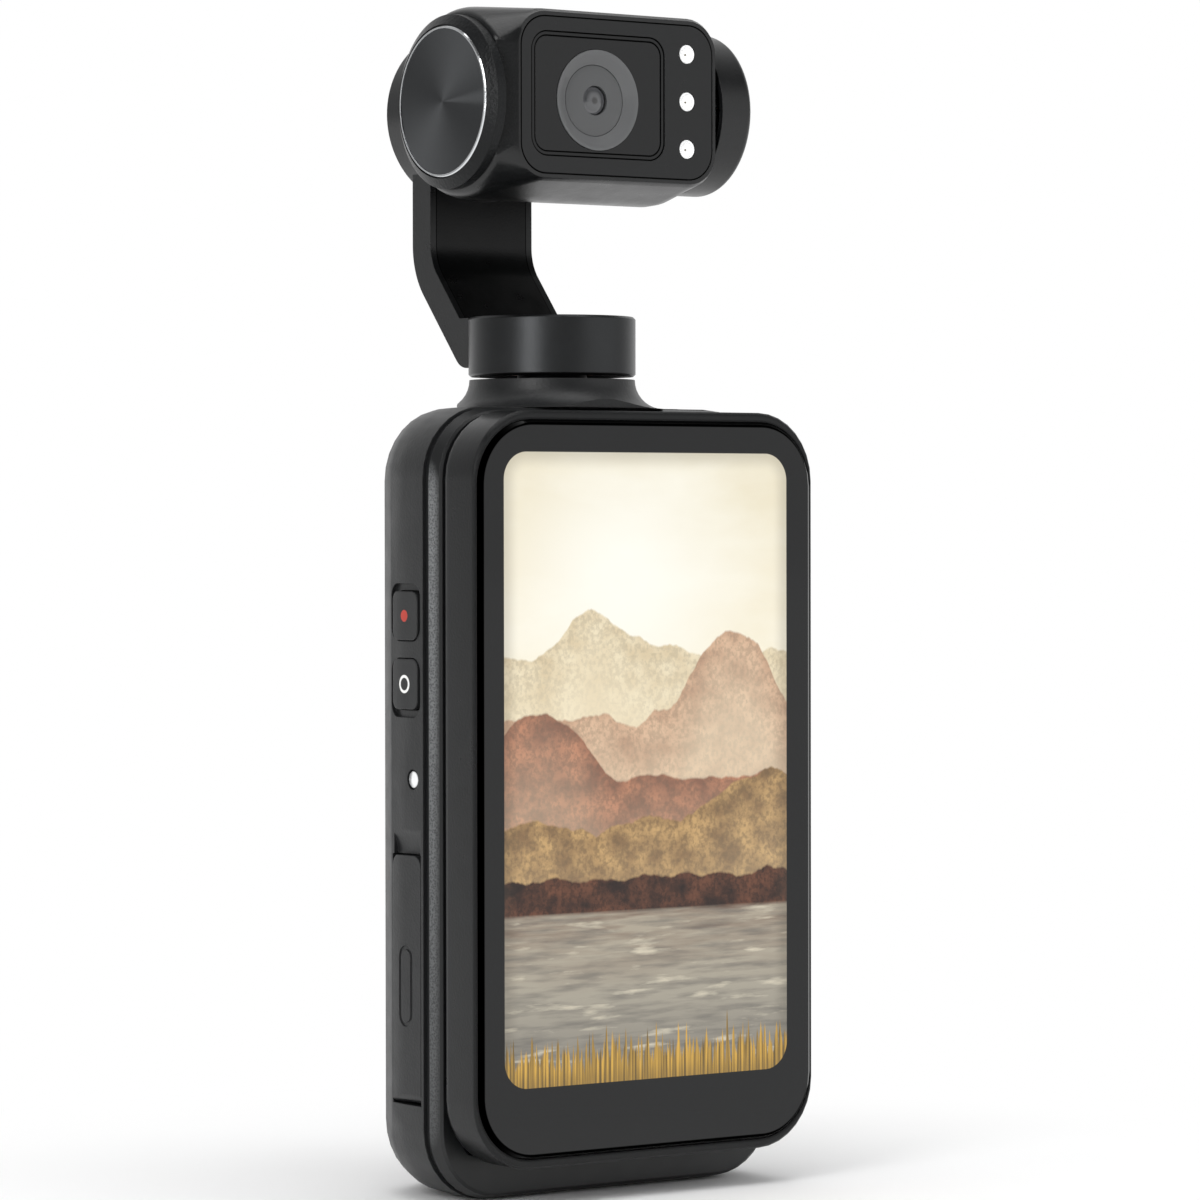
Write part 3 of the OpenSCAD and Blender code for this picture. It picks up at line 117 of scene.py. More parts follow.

# Streaks of light painted into the colour of the brushed disc: the middle of the wide ones, and the middle,
# edge and full part of a narrow one
STREAK_ANGLE = math.radians(162)
SPIKE_ANGLE = math.radians(-90)
SPIKE_EDGE = 0.16
SPIKE_FULL = 0.02

# Marks printed on the left buttons: inner and outer radius
DOT_MARK = (0.0, 0.75)
RING_MARK = (0.75, 1.15)

# Picture on the screen, in shares of its width and height
PICTURE_SHAPE = 0.56
SUN_ACROSS = 0.42
SUN_UP = 0.80
SHORE = 0.27

# Floor: half its side, its drop under the object, and from where to where it turns into background
FLOOR_HALF = 6000
FLOOR_DROP = 0.05
FLOOR_NEAR = 35
FLOOR_FAR = 110

# Smoothing and edge rounding
MERGE_DISTANCE = 0.002
SMOOTH_ANGLE = math.radians(34)
LATHE_SIDES = 96
DOME_STEPS = 10
SLOPE_STEPS = 8
EDGE_SAMPLES = 4

BLACK = (0.0, 0.0, 0.0, 1.0)
OUT_OF_FACE = (0, -1, 0)
OUT_OF_LEFT = (-1, 0, 0)


def middle(node):
    """Middle of a node's box, in metres."""
    low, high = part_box(node)
    return (low + high) / 2


def make_camera():
    """Camera at the photograph's place and turn, with its focal length."""
    yaw_sin, yaw_cos = math.sin(CAMERA_YAW), math.cos(CAMERA_YAW)
    pitch_sin, pitch_cos = math.sin(CAMERA_PITCH), math.cos(CAMERA_PITCH)
    forward = Vector((-yaw_sin * pitch_cos, yaw_cos * pitch_cos, pitch_sin))
    level_right = Vector((yaw_cos, yaw_sin, 0))
    level_up = level_right.cross(forward)
    right = level_right * math.cos(CAMERA_ROLL) + level_up * math.sin(CAMERA_ROLL)
    up = level_up * math.cos(CAMERA_ROLL) - level_right * math.sin(CAMERA_ROLL)
    data = bpy.data.cameras.new("camera")
    data.sensor_width = SENSOR_WIDTH
    data.lens = FOCAL_PIXELS * SENSOR_WIDTH / IMAGE_SIDE
    data.clip_start = NEAREST * MM
    data.clip_end = FURTHEST * MM
    camera = bpy.data.objects.new("camera", data)
    bpy.context.scene.collection.objects.link(camera)
    turn = Matrix((right, up, -forward)).transposed().to_4x4()
    camera.matrix_world = Matrix.Translation(CAMERA_PLACE) @ turn
    bpy.context.scene.camera = camera


make_camera()


def colour(code):
    """Linear colour of a screen colour such as "3a3c3f"."""
    shares = [int(code[i:i + 2], 16) / 255 for i in (0, 2, 4)]
    linear = [s / 12.92 if s <= 0.04045 else ((s + 0.055) / 1.055) ** 2.4 for s in shares]
    return (*linear, 1.0)


class Look:
    """One procedural material: a principled shader and the nodes that feed it."""

    def __init__(self, name, roughness, metallic=0.0, **sockets):
        self.material = bpy.data.materials.new(name)
        self.material.use_nodes = True
        self.tree = self.material.node_tree
        self.shader = self.tree.nodes["Principled BSDF"]
        self.place = self.add("ShaderNodeTexCoord").outputs["Object"]
        self.set("Roughness", roughness)
        self.set("Metallic", metallic)
        for socket, value in sockets.items():
            self.set(socket.replace("_", " ").title().replace("Ior", "IOR"), value)

    def add(self, kind, **settings):
        """New node with the given settings."""
        node = self.tree.nodes.new(kind)
        for name, value in settings.items():
            setattr(node, name, value)
        return node

    def put(self, socket, value):
        """Links a socket to another, or sets its value."""
        if isinstance(value, bpy.types.NodeSocket):
            self.tree.links.new(value, socket)
        else:
            socket.default_value = value

    def set(self, socket, value):
        """Feeds a socket of the shader."""
        self.put(self.shader.inputs[socket], value)

    def noise(self, size, detail=2.0, vector=None):
        """Noise from 0 to 1 with blotches of the given size in millimetres."""
        node = self.add("ShaderNodeTexNoise")
        self.put(node.inputs["Vector"], vector or self.place)
        self.put(node.inputs["Scale"], 1 / (size * MM) if vector is None else size)
        self.put(node.inputs["Detail"], detail)
        return node.outputs[0]

    def cells(self, size):
        """Distance to the nearest point of a random pattern with the given spacing in millimetres."""
        node = self.add("ShaderNodeTexVoronoi")
        self.put(node.inputs["Vector"], self.place)
        self.put(node.inputs["Scale"], 1 / (size * MM))
        return node.outputs["Distance"]

    def sum(self, operation, first, second=0.0, third=0.0):
        """Result of a sum with up to three values."""
        node = self.add("ShaderNodeMath", operation=operation)
        for socket, value in zip(node.inputs, (first, second, third)):
            self.put(socket, value)
        return node.outputs[0]

    def remap(self, value, low, high, to_low=0.0, to_high=1.0, smooth=False):
        """Value that goes from one number to another between two limits and stays level outside them."""
        node = self.add("ShaderNodeMapRange", interpolation_type="SMOOTHSTEP" if smooth else "LINEAR")
        for socket, number in zip(node.inputs, (value, low, high, to_low, to_high)):
            self.put(socket, number)
        return node.outputs[0]

    def mix(self, share, first, second):
        """Colour that goes from first to second."""
        node = self.add("ShaderNodeMix", data_type="RGBA")
        for index, value in ((0, share), (6, first), (7, second)):
            self.put(node.inputs[index], value)
        return node.outputs[2]

    def axes(self):
        """The three coordinates of a point, in metres."""
        node = self.add("ShaderNodeSeparateXYZ")
        self.put(node.inputs[0], self.place)
        return node.outputs

    def offset(self, axis, centre):
        """Distance along one axis from a place in metres, in millimetres."""
        return self.sum("MULTIPLY", self.sum("SUBTRACT", self.axes()[axis], centre), 1 / MM)

    def radius(self, first, second):
        """Length of two offsets together."""
        squares = self.sum("MULTIPLY_ADD", first, first, self.sum("MULTIPLY", second, second))
        return self.sum("SQRT", squares)

    def relief(self, height, depth, edge):
        """Surface detail of a depth in millimetres, over edges rounded by a radius in millimetres."""
        rounded = self.add("ShaderNodeBevel", samples=EDGE_SAMPLES)
        self.put(rounded.inputs["Radius"], edge * MM)
        bump = self.add("ShaderNodeBump")
        self.put(bump.inputs["Strength"], 1.0)
        self.put(bump.inputs["Distance"], depth * MM)
        self.put(bump.inputs["Height"], height)
        self.put(bump.inputs["Normal"], rounded.outputs[0])
        self.set("Normal", bump.outputs[0])


def blacken(look, base, share):
    """Base colour that goes towards black, which also loses its gloss: for black gaps, black print and
    painted shade.
    """
    look.set("Metallic", share)
    look.set("Base Color", look.mix(share, base, BLACK))


def shade(code, factor):
    """A screen colour made darker or lighter."""
    return (*[c * factor for c in colour(code)[:3]], 1.0)


def moulded(name, code, roughness, grain, depth, edge=0.12, mottle=0.12, **sockets):
    """Moulded plastic, rubber or paint with a fine grain and a faint mottle."""
    look = Look(name, roughness, **sockets)
    cloud = look.noise(7.0, 3.0)
    look.set("Base Color", look.mix(cloud, shade(code, 1 - mottle), shade(code, 1 + mottle)))
    fine = look.noise(grain, 2.0)
    look.set("Roughness", look.remap(look.noise(2.5), 0.2, 0.8, roughness - 0.04, roughness + 0.05))
    look.relief(look.sum("ADD", fine, look.cells(grain * 1.6)), depth, edge)
    return look


def metal(name, code, roughness, grain, depth, edge=0.08):
    """Metal with a fine blasted or ground surface."""
    look = Look(name, roughness, 1.0)
    look.set("Base Color", look.mix(look.noise(3.0, 3.0), shade(code, 0.9), shade(code, 1.08)))
    fine = look.noise(grain, 3.0)
    look.set("Roughness", look.remap(fine, 0.25, 0.75, roughness - 0.05, roughness + 0.07))
    look.relief(fine, depth, edge)
    return look


def brushed_metal():
    """Disc turned on a lathe: fine rings round its centre, and painted streaks of light across them."""
    centre = middle("brushed_disc")
    look = Look("brushed_metal", 0.27, 1.0, anisotropic=0.85)
    across = look.offset(1, centre.y)
    upward = look.offset(2, centre.z)
    radius = look.radius(across, upward)
    ring = look.add("ShaderNodeCombineXYZ")
    look.put(ring.inputs[0], radius)
    turned = look.noise(22.0, 3.0, ring.outputs[0])
    # Painted highlight: the colour is lighter in two wide streaks and one narrow one, at fixed angles round
    # the centre.
    angle = look.sum("ARCTAN2", across, upward)
    painted_sweep = look.sum("COSINE", look.sum("MULTIPLY_ADD", angle, 2.0, -2 * STREAK_ANGLE))
    from_spike = look.sum("ABSOLUTE", look.sum("SUBTRACT", angle, SPIKE_ANGLE))
    painted_spike = look.remap(from_spike, SPIKE_EDGE, SPIKE_FULL, 0.0, 0.7, smooth=True)
    painted_streaks = look.sum("ADD", look.remap(painted_sweep, -1.0, 1.0), painted_spike)
    dull = look.mix(turned, colour("2b2c2d"), colour("505254"))
    bright = look.mix(turned, colour("454749"), colour("7c7e80"))
    look.set("Base Color", look.mix(painted_streaks, dull, bright))
    tangent = look.add("ShaderNodeTangent", direction_type="RADIAL", axis="X")
    look.set("Tangent", tangent.outputs[0])
    look.relief(turned, 0.004, 0.05)
    return look


def strip_plastic():
    """Front frame: coarse stippled grain on the straight parts of its sides, made pale by a painted highlight
    that fades towards the bottom, smooth and dark elsewhere.
    """
    look = moulded("strip_plastic", "18191a", 0.4, 0.25, 0.010)
    low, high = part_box("front_frame")
    depth = look.offset(1, low.y)
    upward = look.offset(2, 0.0)
    away = look.sum("ABSOLUTE", look.offset(0, 0.0))
    side = high.x / MM
    painted_strip_light = look.remap(upward, STRIP_TOP, STRIP_TOP - STRIP_FADE, smooth=True)
    # The limits are the strip's outline, and a painted highlight that grows paler towards the top.
    limits = (look.remap(upward, STRIP_LOW, STRIP_LOW + STRIP_FADE, smooth=True),
              look.remap(depth, STRIP_DEPTH, STRIP_DEPTH - 0.1),
              look.remap(away, side - STRIP_INNER, side - STRIP_OUTER),
              look.remap(upward, 5.0, 80.0, 0.25, 1.0))
    for limit in limits:
        painted_strip_light = look.sum("MULTIPLY", painted_strip_light, limit)
    stipple_and_highlight = look.sum("MULTIPLY", look.remap(look.cells(0.27), 0.15, 0.7), painted_strip_light)
    # Painted highlight: the strip is paler than the rest of the frame, with paler stipple dots on it.
    base = look.mix(painted_strip_light, colour("141516"), colour("464748"))
    look.set("Base Color", look.mix(stipple_and_highlight, base, colour("727475")))
    look.relief(look.sum("ADD", stipple_and_highlight, look.sum("MULTIPLY", look.noise(0.22), 0.2)), 0.04, 0.12)
    return look


def arm_paint():
    """Satin arm whose front is darker inside a fine seam: partly a darker inlay, partly painted shade."""
    code = "141516"
    look = moulded("arm_paint", code, 0.3, 0.16, 0.008, 0.15)
    normal = look.add("ShaderNodeSeparateXYZ")
    look.put(normal.inputs[0], look.add("ShaderNodeTexCoord").outputs["Normal"])
    on_front = look.remap(normal.outputs[1], -0.35, -0.45)
    away = look.sum("ABSOLUTE", look.offset(0, 0.0))
    # Painted shade: the front inside the seam is blackened part way, partly as a darker inlay and partly as
    # the shade under the head.
    inlay_and_painted_shade = look.remap(away, ARM_SEAM, ARM_SEAM - SEAM_WIDTH, 0.3, 0.55)
    seam = look.sum("MULTIPLY", look.remap(away, ARM_SEAM - SEAM_WIDTH, ARM_SEAM - 0.7 * SEAM_WIDTH),
                    look.remap(away, ARM_SEAM, ARM_SEAM - 0.3 * SEAM_WIDTH))
    share = look.sum("MULTIPLY", look.sum("MAXIMUM", inlay_and_painted_shade, seam), on_front)
    blacken(look, look.mix(look.noise(6.0), shade(code, 0.9), shade(code, 1.1)), share)
    return look


def status_lamp():
    """Small clear light with a painted highlight: bright towards the front, grey towards the back, with a
    dark rim.
    """
    look = Look("status_lamp", 0.12, coat_weight=0.5)
    centre = middle("status_light")
    forward = look.offset(1, centre.y)
    radius = look.radius(forward, look.offset(2, centre.z))
    # Painted highlight: the lens colour goes from grey at the back to near white at the front.
    lens = look.mix(look.remap(forward, 0.45, -0.15, smooth=True), colour("6f7071"), colour("f0f1f1"))
    look.set("Base Color", look.mix(look.remap(radius, 0.92, 1.05), lens, colour("1d1e1f")))
    look.relief(look.noise(0.5), 0.01, 0.05)
    return look


def marked_button(node, ink, mark):
    """Button with a plain ring or dot printed on its middle."""
    code = "1e1f20"
    look = moulded(node + "_face", code, 0.45, 0.2, 0.008, 0.28)
    centre = middle(node)
    radius = look.radius(look.offset(1, centre.y), look.offset(2, centre.z))
    inner, outer = mark
    blur = 0.05
    shown = look.remap(radius, outer, outer - blur)
    if inner > 0:
        shown = look.sum("MULTIPLY", shown, look.remap(radius, inner, inner + blur))
    base = look.mix(look.noise(5.0), shade(code, 0.9), shade(code, 1.1))
    look.set("Base Color", look.mix(shown, base, colour(ink)))
    return look


def picture(look):
    """Colour of a made-up view: hazy red and tan hills under a cream sky, a grey lake and yellow reeds."""
    u = look.sum("DIVIDE", look.offset(0, LIT_LEFT * MM), LIT_RIGHT - LIT_LEFT)
    v = look.sum("DIVIDE", look.offset(2, LIT_LOW * MM), LIT_TOP - LIT_LOW)

    def noise(wide, tall, shift=0.0, detail=5.0):
        """Noise over the picture, with so many blotches across and upwards."""
        point = look.add("ShaderNodeCombineXYZ")
        places = (look.sum("MULTIPLY", u, wide), look.sum("MULTIPLY", v, tall), shift)
        for socket, value in zip(point.inputs, places):
            look.put(socket, value)
        return look.noise(1.0, detail, point.outputs[0])

    def bump(middle_u, half, height):
        """Round hill in the outline of a ridge."""
        away = look.sum("ABSOLUTE", look.sum("SUBTRACT", u, middle_u))
        return look.sum("MULTIPLY", look.remap(away, half, 0.0, smooth=True), height)

    sky = look.mix(look.remap(v, 0.45, 1.0), colour("fdf6e2"), colour("e9e0c6"))
    sky = look.mix(look.remap(noise(2.0, 9.0, 1.0), 0.45, 0.8, 0.0, 0.5), sky, colour("fffdf2"))
    sun_across = look.sum("MULTIPLY", look.sum("SUBTRACT", u, SUN_ACROSS), PICTURE_SHAPE)
    from_sun = look.radius(sun_across, look.sum("SUBTRACT", v, SUN_UP))
    view = look.mix(look.remap(from_sun, 0.30, 0.02, 0.0, 0.8, smooth=True), sky, colour("fffef6"))

    # Crest, roughness and blotches of the outline, its hills, dark and light slopes, haze
    ridges = (
        (0.68, 0.14, 3.0, ((0.30, 0.22, 0.07),), "cdb892", "e9dcbd", 0.75),
        (0.58, 0.14, 4.0, ((0.80, 0.26, 0.14),), "a8765a", "d3a888", 0.55),
        (0.48, 0.13, 3.0, ((0.12, 0.30, 0.12),), "743a26", "b4704f", 0.30),
        (0.41, 0.10, 5.0, ((0.92, 0.36, 0.08),), "7d5c36", "c19a62", 0.15),
        (0.325, 0.05, 9.0, (), "2c1c17", "6b4330", 0.0),
    )
    for number, (crest, rough, blotches, hills, dark, light, haze) in enumerate(ridges):
        height = look.sum("MULTIPLY_ADD", noise(blotches, 0.0, 3.0 * number, 8.0), rough, crest - rough / 2)
        for hill in hills:
            height = look.sum("ADD", height, bump(*hill))
        below = look.sum("SUBTRACT", height, v)
        slope = look.mix(look.remap(noise(11.0, 24.0, number), 0.36, 0.64), colour(dark), colour(light))
        trees = look.remap(noise(90.0, 130.0, number + 0.5, 3.0), 0.42, 0.62, 0.0, 0.55)
        slope = look.mix(trees, slope, shade(dark, 0.55))
        slope = look.mix(look.remap(below, 0.0, 0.15, haze * 0.35, haze), slope, colour("f1e4c6"))
        view = look.mix(look.remap(below, 0.0, 0.004), view, slope)

    # Lake with ripples that mirrors the dark shore and the sky, and reeds on the near side
    water = look.mix(look.remap(v, SHORE, 0.0), colour("c6bda9"), colour("7c7973"))
    mirrored = look.sum("MULTIPLY", look.remap(v, SHORE - 0.13, SHORE, 0.0, 0.85),
                        look.remap(noise(4.0, 70.0, 7.5), 0.35, 0.6, 1.0, 0.4))
    water = look.mix(mirrored, water, colour("5a3a2b"))
    water = look.mix(look.remap(noise(6.0, 90.0, 7.0), 0.44, 0.68, 0.0, 0.55), water, colour("63605c"))
    water = look.mix(look.remap(noise(5.0, 60.0, 9.0), 0.58, 0.70, 0.0, 0.6), water, colour("ece2ca"))
    view = look.mix(look.remap(v, SHORE + 0.003, SHORE - 0.003), view, water)
    reeds = look.sum("MULTIPLY_ADD", noise(90.0, 2.0, 11.0, 2.0), 0.20, -0.045)
    below = look.sum("SUBTRACT", reeds, v)
    blades = look.mix(look.remap(noise(120.0, 3.0, 12.0), 0.40, 0.60), colour("6d5a33"), colour("d9ab4d"))
    return look.mix(look.remap(below, 0.0, 0.010), view, blades)


def rounded_mask(look, low, high, corner):
    """Distance outside a rounded rectangle, in millimetres, below 0 inside it. Its corners are in metres."""
    centre, half = (low + high) / 2, (high - low) / 2 / MM
    far = []
    for axis in (0, 2):
        away = look.sum("ABSOLUTE", look.offset(axis, centre[axis]))
        far.append(look.sum("SUBTRACT", away, half[axis] - corner))
    outside = look.radius(*[look.sum("MAXIMUM", f, 0.0) for f in far])
    inside = look.sum("MINIMUM", look.sum("MAXIMUM", *far), 0.0)
    return look.sum("SUBTRACT", look.sum("ADD", outside, inside), corner)


def cover_glass():
    """Glass printed black round its edge, with the lit picture under its middle and a dark gap round it."""
    look = Look("cover_glass", 0.05, specular_ior_level=0.42)
    lit_box = (Vector((LIT_LEFT, 0, LIT_LOW)) * MM, Vector((LIT_RIGHT, 0, LIT_TOP)) * MM)
    gap = rounded_mask(look, *lit_box, LIT_CORNER)
    low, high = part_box("cover_glass")
    on_front = look.remap(look.offset(1, low.y), LIT_DEPTH, LIT_DEPTH - 0.1)
    lit = look.sum("MULTIPLY", look.remap(gap, GAP_BLUR, -GAP_BLUR), on_front)
    shadow = look.remap(gap, -SHADE_WIDTH, 0.0, 1.0, SHADE_LEVEL, smooth=True)
    seen = look.mix(shadow, colour("3a352c"), picture(look))
    print_black = look.mix(look.noise(9.0), colour("08090a"), colour("0c0d0e"))
    inside = look.mix(lit, print_black, look.mix(SCREEN_GLOW, seen, BLACK))
    rim = rounded_mask(look, low, high, GLASS_CORNER)
    blacken(look, inside, look.remap(rim, -GLASS_RIM, -GLASS_RIM + 0.1))
    look.set("Emission Color", look.mix(lit, BLACK, seen))
    look.set("Emission Strength", SCREEN_GLOW)
    look.relief(look.noise(30.0), 0.002, 0.1)
    return look


def lined(name, code, roughness, node, corner, rim=None):
    """Satin plastic with a black gap round its outline, and round its opening if its rim's width is given."""
    look = moulded(name, code, roughness, 0.3, 0.003, 0.1, 0.08, specular_ior_level=0.4)
    away = rounded_mask(look, *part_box(node), corner)
    share = look.remap(away, -GAP_LINE - GAP_BLUR, -GAP_LINE + GAP_BLUR)
    if rim:
        inner = GAP_LINE - rim
        share = look.sum("MAXIMUM", share, look.remap(away, inner - GAP_BLUR, inner + GAP_BLUR, 1.0, 0.0))
    base = look.mix(look.noise(6.0), shade(code, 0.92), shade(code, 1.08))
    blacken(look, base, share)
    return look


def ribbon_film():
    """Amber film with dark copper tracks along it."""
    look = Look("ribbon_amber", 0.28, coat_weight=0.4)
    across = look.offset(0, 0.0)
    track = look.sum("FRACT", look.sum("MULTIPLY", across, 1.6))
    shown = look.remap(look.sum("ABSOLUTE", look.sum("SUBTRACT", track, 0.5)), 0.30, 0.24)
    look.set("Base Color", look.mix(shown, colour("c47a2c"), colour("7a3f16")))
    look.relief(shown, 0.01, 0.02)
    return look


def board_green():
    """Solder mask with paler tracks and round gold pads."""
    look = Look("board_green", 0.35, coat_weight=0.2)
    tracks = look.remap(look.cells(2.2), 0.40, 0.46)
    pads = look.remap(look.cells(1.1), 0.20, 0.15)
    green = look.mix(tracks, colour("125a38"), colour("1f7a4d"))
    look.set("Base Color", look.mix(pads, green, colour("b79a4a")))
    look.set("Roughness", look.remap(pads, 0.0, 1.0, 0.38, 0.22))
    look.relief(look.sum("ADD", tracks, pads), 0.02, 0.05)
    return look


def copper_coil():
    """Enamelled wire laid in turns."""
    look = Look("copper_coil", 0.3, 0.85)
    wave = look.add("ShaderNodeTexWave", wave_type="BANDS", bands_direction="DIAGONAL")
    look.put(wave.inputs["Vector"], look.place)
    look.put(wave.inputs["Scale"], 900.0)
    look.put(wave.inputs["Distortion"], 0.6)
    look.set("Base Color", look.mix(wave.outputs["Fac"], colour("6b2c12"), colour("cf7a3a")))
    look.relief(wave.outputs["Fac"], 0.03, 0.05)
    return look


def lens_grey(name, code, roughness):
    """Satin grey of the lens surround, with fine turned rings."""
    look = Look(name, roughness, coat_weight=0.25)
    centre = middle("lens_ring")
    radius = look.radius(look.offset(0, centre.x), look.offset(2, centre.z))
    ring = look.add("ShaderNodeCombineXYZ")
    look.put(ring.inputs[0], radius)
    turned = look.noise(7.0, 2.0, ring.outputs[0])
    look.set("Base Color", look.mix(turned, shade(code, 0.92), shade(code, 1.08)))
    look.relief(turned, 0.006, 0.05)
    return look


def lens_coating():
    """Front lens: glass that is dark at its middle and grey towards its rim."""
    look = Look("lens_coating", 0.03, coat_weight=1.0)
    look.set("Coat Roughness", 0.0)
    centre = middle("front_lens")
    radius = look.radius(look.offset(0, centre.x), look.offset(2, centre.z))
    bowl = look.mix(look.remap(radius, 0.25, 0.6, smooth=True), colour("161617"), colour("47484a"))
    edge = look.mix(look.remap(radius, 1.25, 1.6, smooth=True), bowl, colour("626366"))
    look.set("Base Color", edge)
    look.relief(look.noise(6.0), 0.001, 0.05)
    return look


# One finish for each material slot of the record
FINISHES = {
    "grip_plastic": lambda: moulded("grip_plastic", "1b1c1d", 0.42, 0.24, 0.014, 0.15),
    "frame_plastic": lambda: moulded("frame_plastic", "101112", 0.3, 0.22, 0.008, 0.15),
    "button_plastic": lambda: moulded("button_plastic", "1d1e1f", 0.45, 0.2, 0.008, 0.25),
    "red_plastic": lambda: moulded("red_plastic", "9c2a22", 0.35, 0.3, 0.006, 0.3),
    "light_pipe": lambda: moulded("light_pipe", "e8e8e6", 0.12, 0.5, 0.01, 0.05, coat_weight=0.6),
    "drum_metal": lambda: metal("drum_metal", "3f4041", 0.34, 0.12, 0.012, 0.2),
    "bracket_metal": lambda: moulded("bracket_metal", "101112", 0.3, 0.16, 0.008, 0.15),
    "brushed_metal": brushed_metal,
    "bright_metal": lambda: metal("bright_metal", "e4e6e8", 0.12, 0.2, 0.001, 0.05),
    "shaft_steel": lambda: metal("shaft_steel", "c4c6c8", 0.22, 0.15, 0.002),
    "screw_steel": lambda: metal("screw_steel", "2c2c2e", 0.35, 0.12, 0.004),
    "brass": lambda: metal("brass", "d2ae5e", 0.25, 0.2, 0.003),
    "cover_glass": cover_glass,
    "display": lambda: moulded("display", "1c2a33", 0.15, 0.4, 0.002),
    "bezel_plastic": lambda: moulded("bezel_plastic", "0b0c0d", 0.1, 0.5, 0.001, 0.12, 0.08,
                                     specular_ior_level=0.42),
    "lens_glass": lambda: moulded("lens_glass", "20242c", 0.05, 1.0, 0.001, 0.05, 0.05, coat_weight=1.0),
    "ring_metal": lambda: moulded("ring_metal", "131415", 0.3, 0.2, 0.006, 0.15),
    "board_green": board_green,
    "chip_black": lambda: moulded("chip_black", "161718", 0.45, 0.15, 0.008),
    "sheet_steel": lambda: metal("sheet_steel", "b4b6b8", 0.28, 0.3, 0.004),
    "battery_wrap": lambda: moulded("battery_wrap", "2f4f85", 0.3, 2.0, 0.03, 0.3),
    "copper_coil": copper_coil,
    "magnet_black": lambda: metal("magnet_black", "6a6b6e", 0.24, 0.5, 0.002),
    "ribbon_amber": ribbon_film,
    "seal_rubber": lambda: moulded("seal_rubber", "161617", 0.7, 0.3, 0.015),
    "washer_polymer": lambda: moulded("washer_polymer", "d8d8d2", 0.4, 0.4, 0.006),
}


def smoothing():
    """Modifier nodes: joins the faces of a solid and smooths all edges but the sharp ones."""
    group = bpy.data.node_groups.new("smooth_solid", "GeometryNodeTree")
    for way in ("INPUT", "OUTPUT"):
        group.interface.new_socket("Geometry", in_out=way, socket_type="NodeSocketGeometry")
    add, link = group.nodes.new, group.links.new
    start, end = add("NodeGroupInput"), add("NodeGroupOutput")
    plain = add("GeometryNodeRemoveAttribute")
    plain.inputs["Name"].default_value = "custom_normal"
    merge = add("GeometryNodeMergeByDistance")
    merge.inputs["Distance"].default_value = MERGE_DISTANCE * MM
    angle = add("GeometryNodeInputMeshEdgeAngle")
    soft = add("FunctionNodeCompare")
    soft.operation = "LESS_THAN"
    soft.inputs[1].default_value = SMOOTH_ANGLE
    edges, faces = add("GeometryNodeSetShadeSmooth"), add("GeometryNodeSetShadeSmooth")
    edges.domain, faces.domain = "EDGE", "FACE"
    link(start.outputs[0], plain.inputs["Geometry"])
    link(plain.outputs[0], merge.inputs["Geometry"])
    link(merge.outputs[0], edges.inputs["Geometry"])
    link(angle.outputs["Unsigned Angle"], soft.inputs[0])
    link(soft.outputs[0], edges.inputs["Shade Smooth"])
    link(edges.outputs[0], faces.inputs["Geometry"])
    link(faces.outputs[0], end.inputs[0])
    return group


SMOOTHING = smoothing()


def soften(piece):
    """Smooth faces with level normals, by modifiers alone."""
    piece.modifiers.new("smooth", "NODES").node_group = SMOOTHING
    weighted = piece.modifiers.new("weighted", "WEIGHTED_NORMAL")
    weighted.keep_sharp = True
    weighted.mode = "FACE_AREA_WITH_ANGLE"


def dress_nodes():
    """Gives every node the finish of its slot in the record, and a few nodes a finish of their own."""
    made = {slot: finish().material for slot, finish in FINISHES.items()}
    own = {
        "front_frame": strip_plastic(),
        "screen_frame": moulded("slab_plastic", "101112", 0.3, 0.22, 0.008, 0.6, specular_ior_level=0.3),
        "ir_button": marked_button("ir_button", "b5392c", DOT_MARK),
        "lock_button": marked_button("lock_button", "eeeeec", RING_MARK),
        "lens_ring": lens_grey("lens_ring_grey", "5a5b5c", 0.5),
        "pan_motor_base": metal("base_metal", "1a1b1c", 0.45, 0.2, 0.004),
        "gimbal_arm": arm_paint(),
        "end_cap": moulded("cap_texture", "18191a", 0.34, 0.26, 0.03, 0.15, specular_ior_level=0.18),
        "face_plate": lined("face_plate_satin", "121314", 0.3, "face_plate", FACE_CORNER),
        "window_bezel": lined("bezel_gloss", "0b0c0d", 0.16, "window_bezel", BEZEL_CORNER, BEZEL_RIM),
    }
    for row in frame["record"]["subparts"]:
        piece = nodes[row["node"]]
        name = row["node"]
        piece.data.materials.clear()
        piece.data.materials.append(own[name].material if name in own else made[row["material_slot"]])
        soften(piece)


def lathe(name, profile, centres, axis, body, look, replaced=()):
    """Round piece turned about an axis, once at each centre, and tied to its body and slot. The profile is a
    list of (radius, distance outwards) in millimetres."""
    mesh = bmesh.new()
    turn = Vector((0, 0, 1)).rotation_difference(Vector(axis)).to_matrix()
    for centre in centres:
        rings = []
        for radius, out in profile:
            count = LATHE_SIDES if radius > 0 else 1
            angles = [2 * math.pi * i / LATHE_SIDES for i in range(count)]
            points = [Vector((radius * math.cos(a), radius * math.sin(a), out)) * MM for a in angles]
            rings.append([mesh.verts.new(centre + turn @ p) for p in points])
        for low, high in zip(rings, rings[1:]):
            for i in range(LATHE_SIDES):
                following = (i + 1) % LATHE_SIDES
                corners = [low[i % len(low)], low[following % len(low)],
                           high[following % len(high)], high[i % len(high)]]
                mesh.faces.new(list(dict.fromkeys(corners)))
    bmesh.ops.recalc_face_normals(mesh, faces=mesh.faces)
    data = bpy.data.meshes.new(name)
    mesh.to_mesh(data)
    mesh.free()
    piece = bpy.data.objects.new(name, data)
    bpy.context.scene.collection.objects.link(piece)
    data.materials.append(look.material)
    soften(piece)
    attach(piece, body)
    if replaced:
        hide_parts(*replaced)


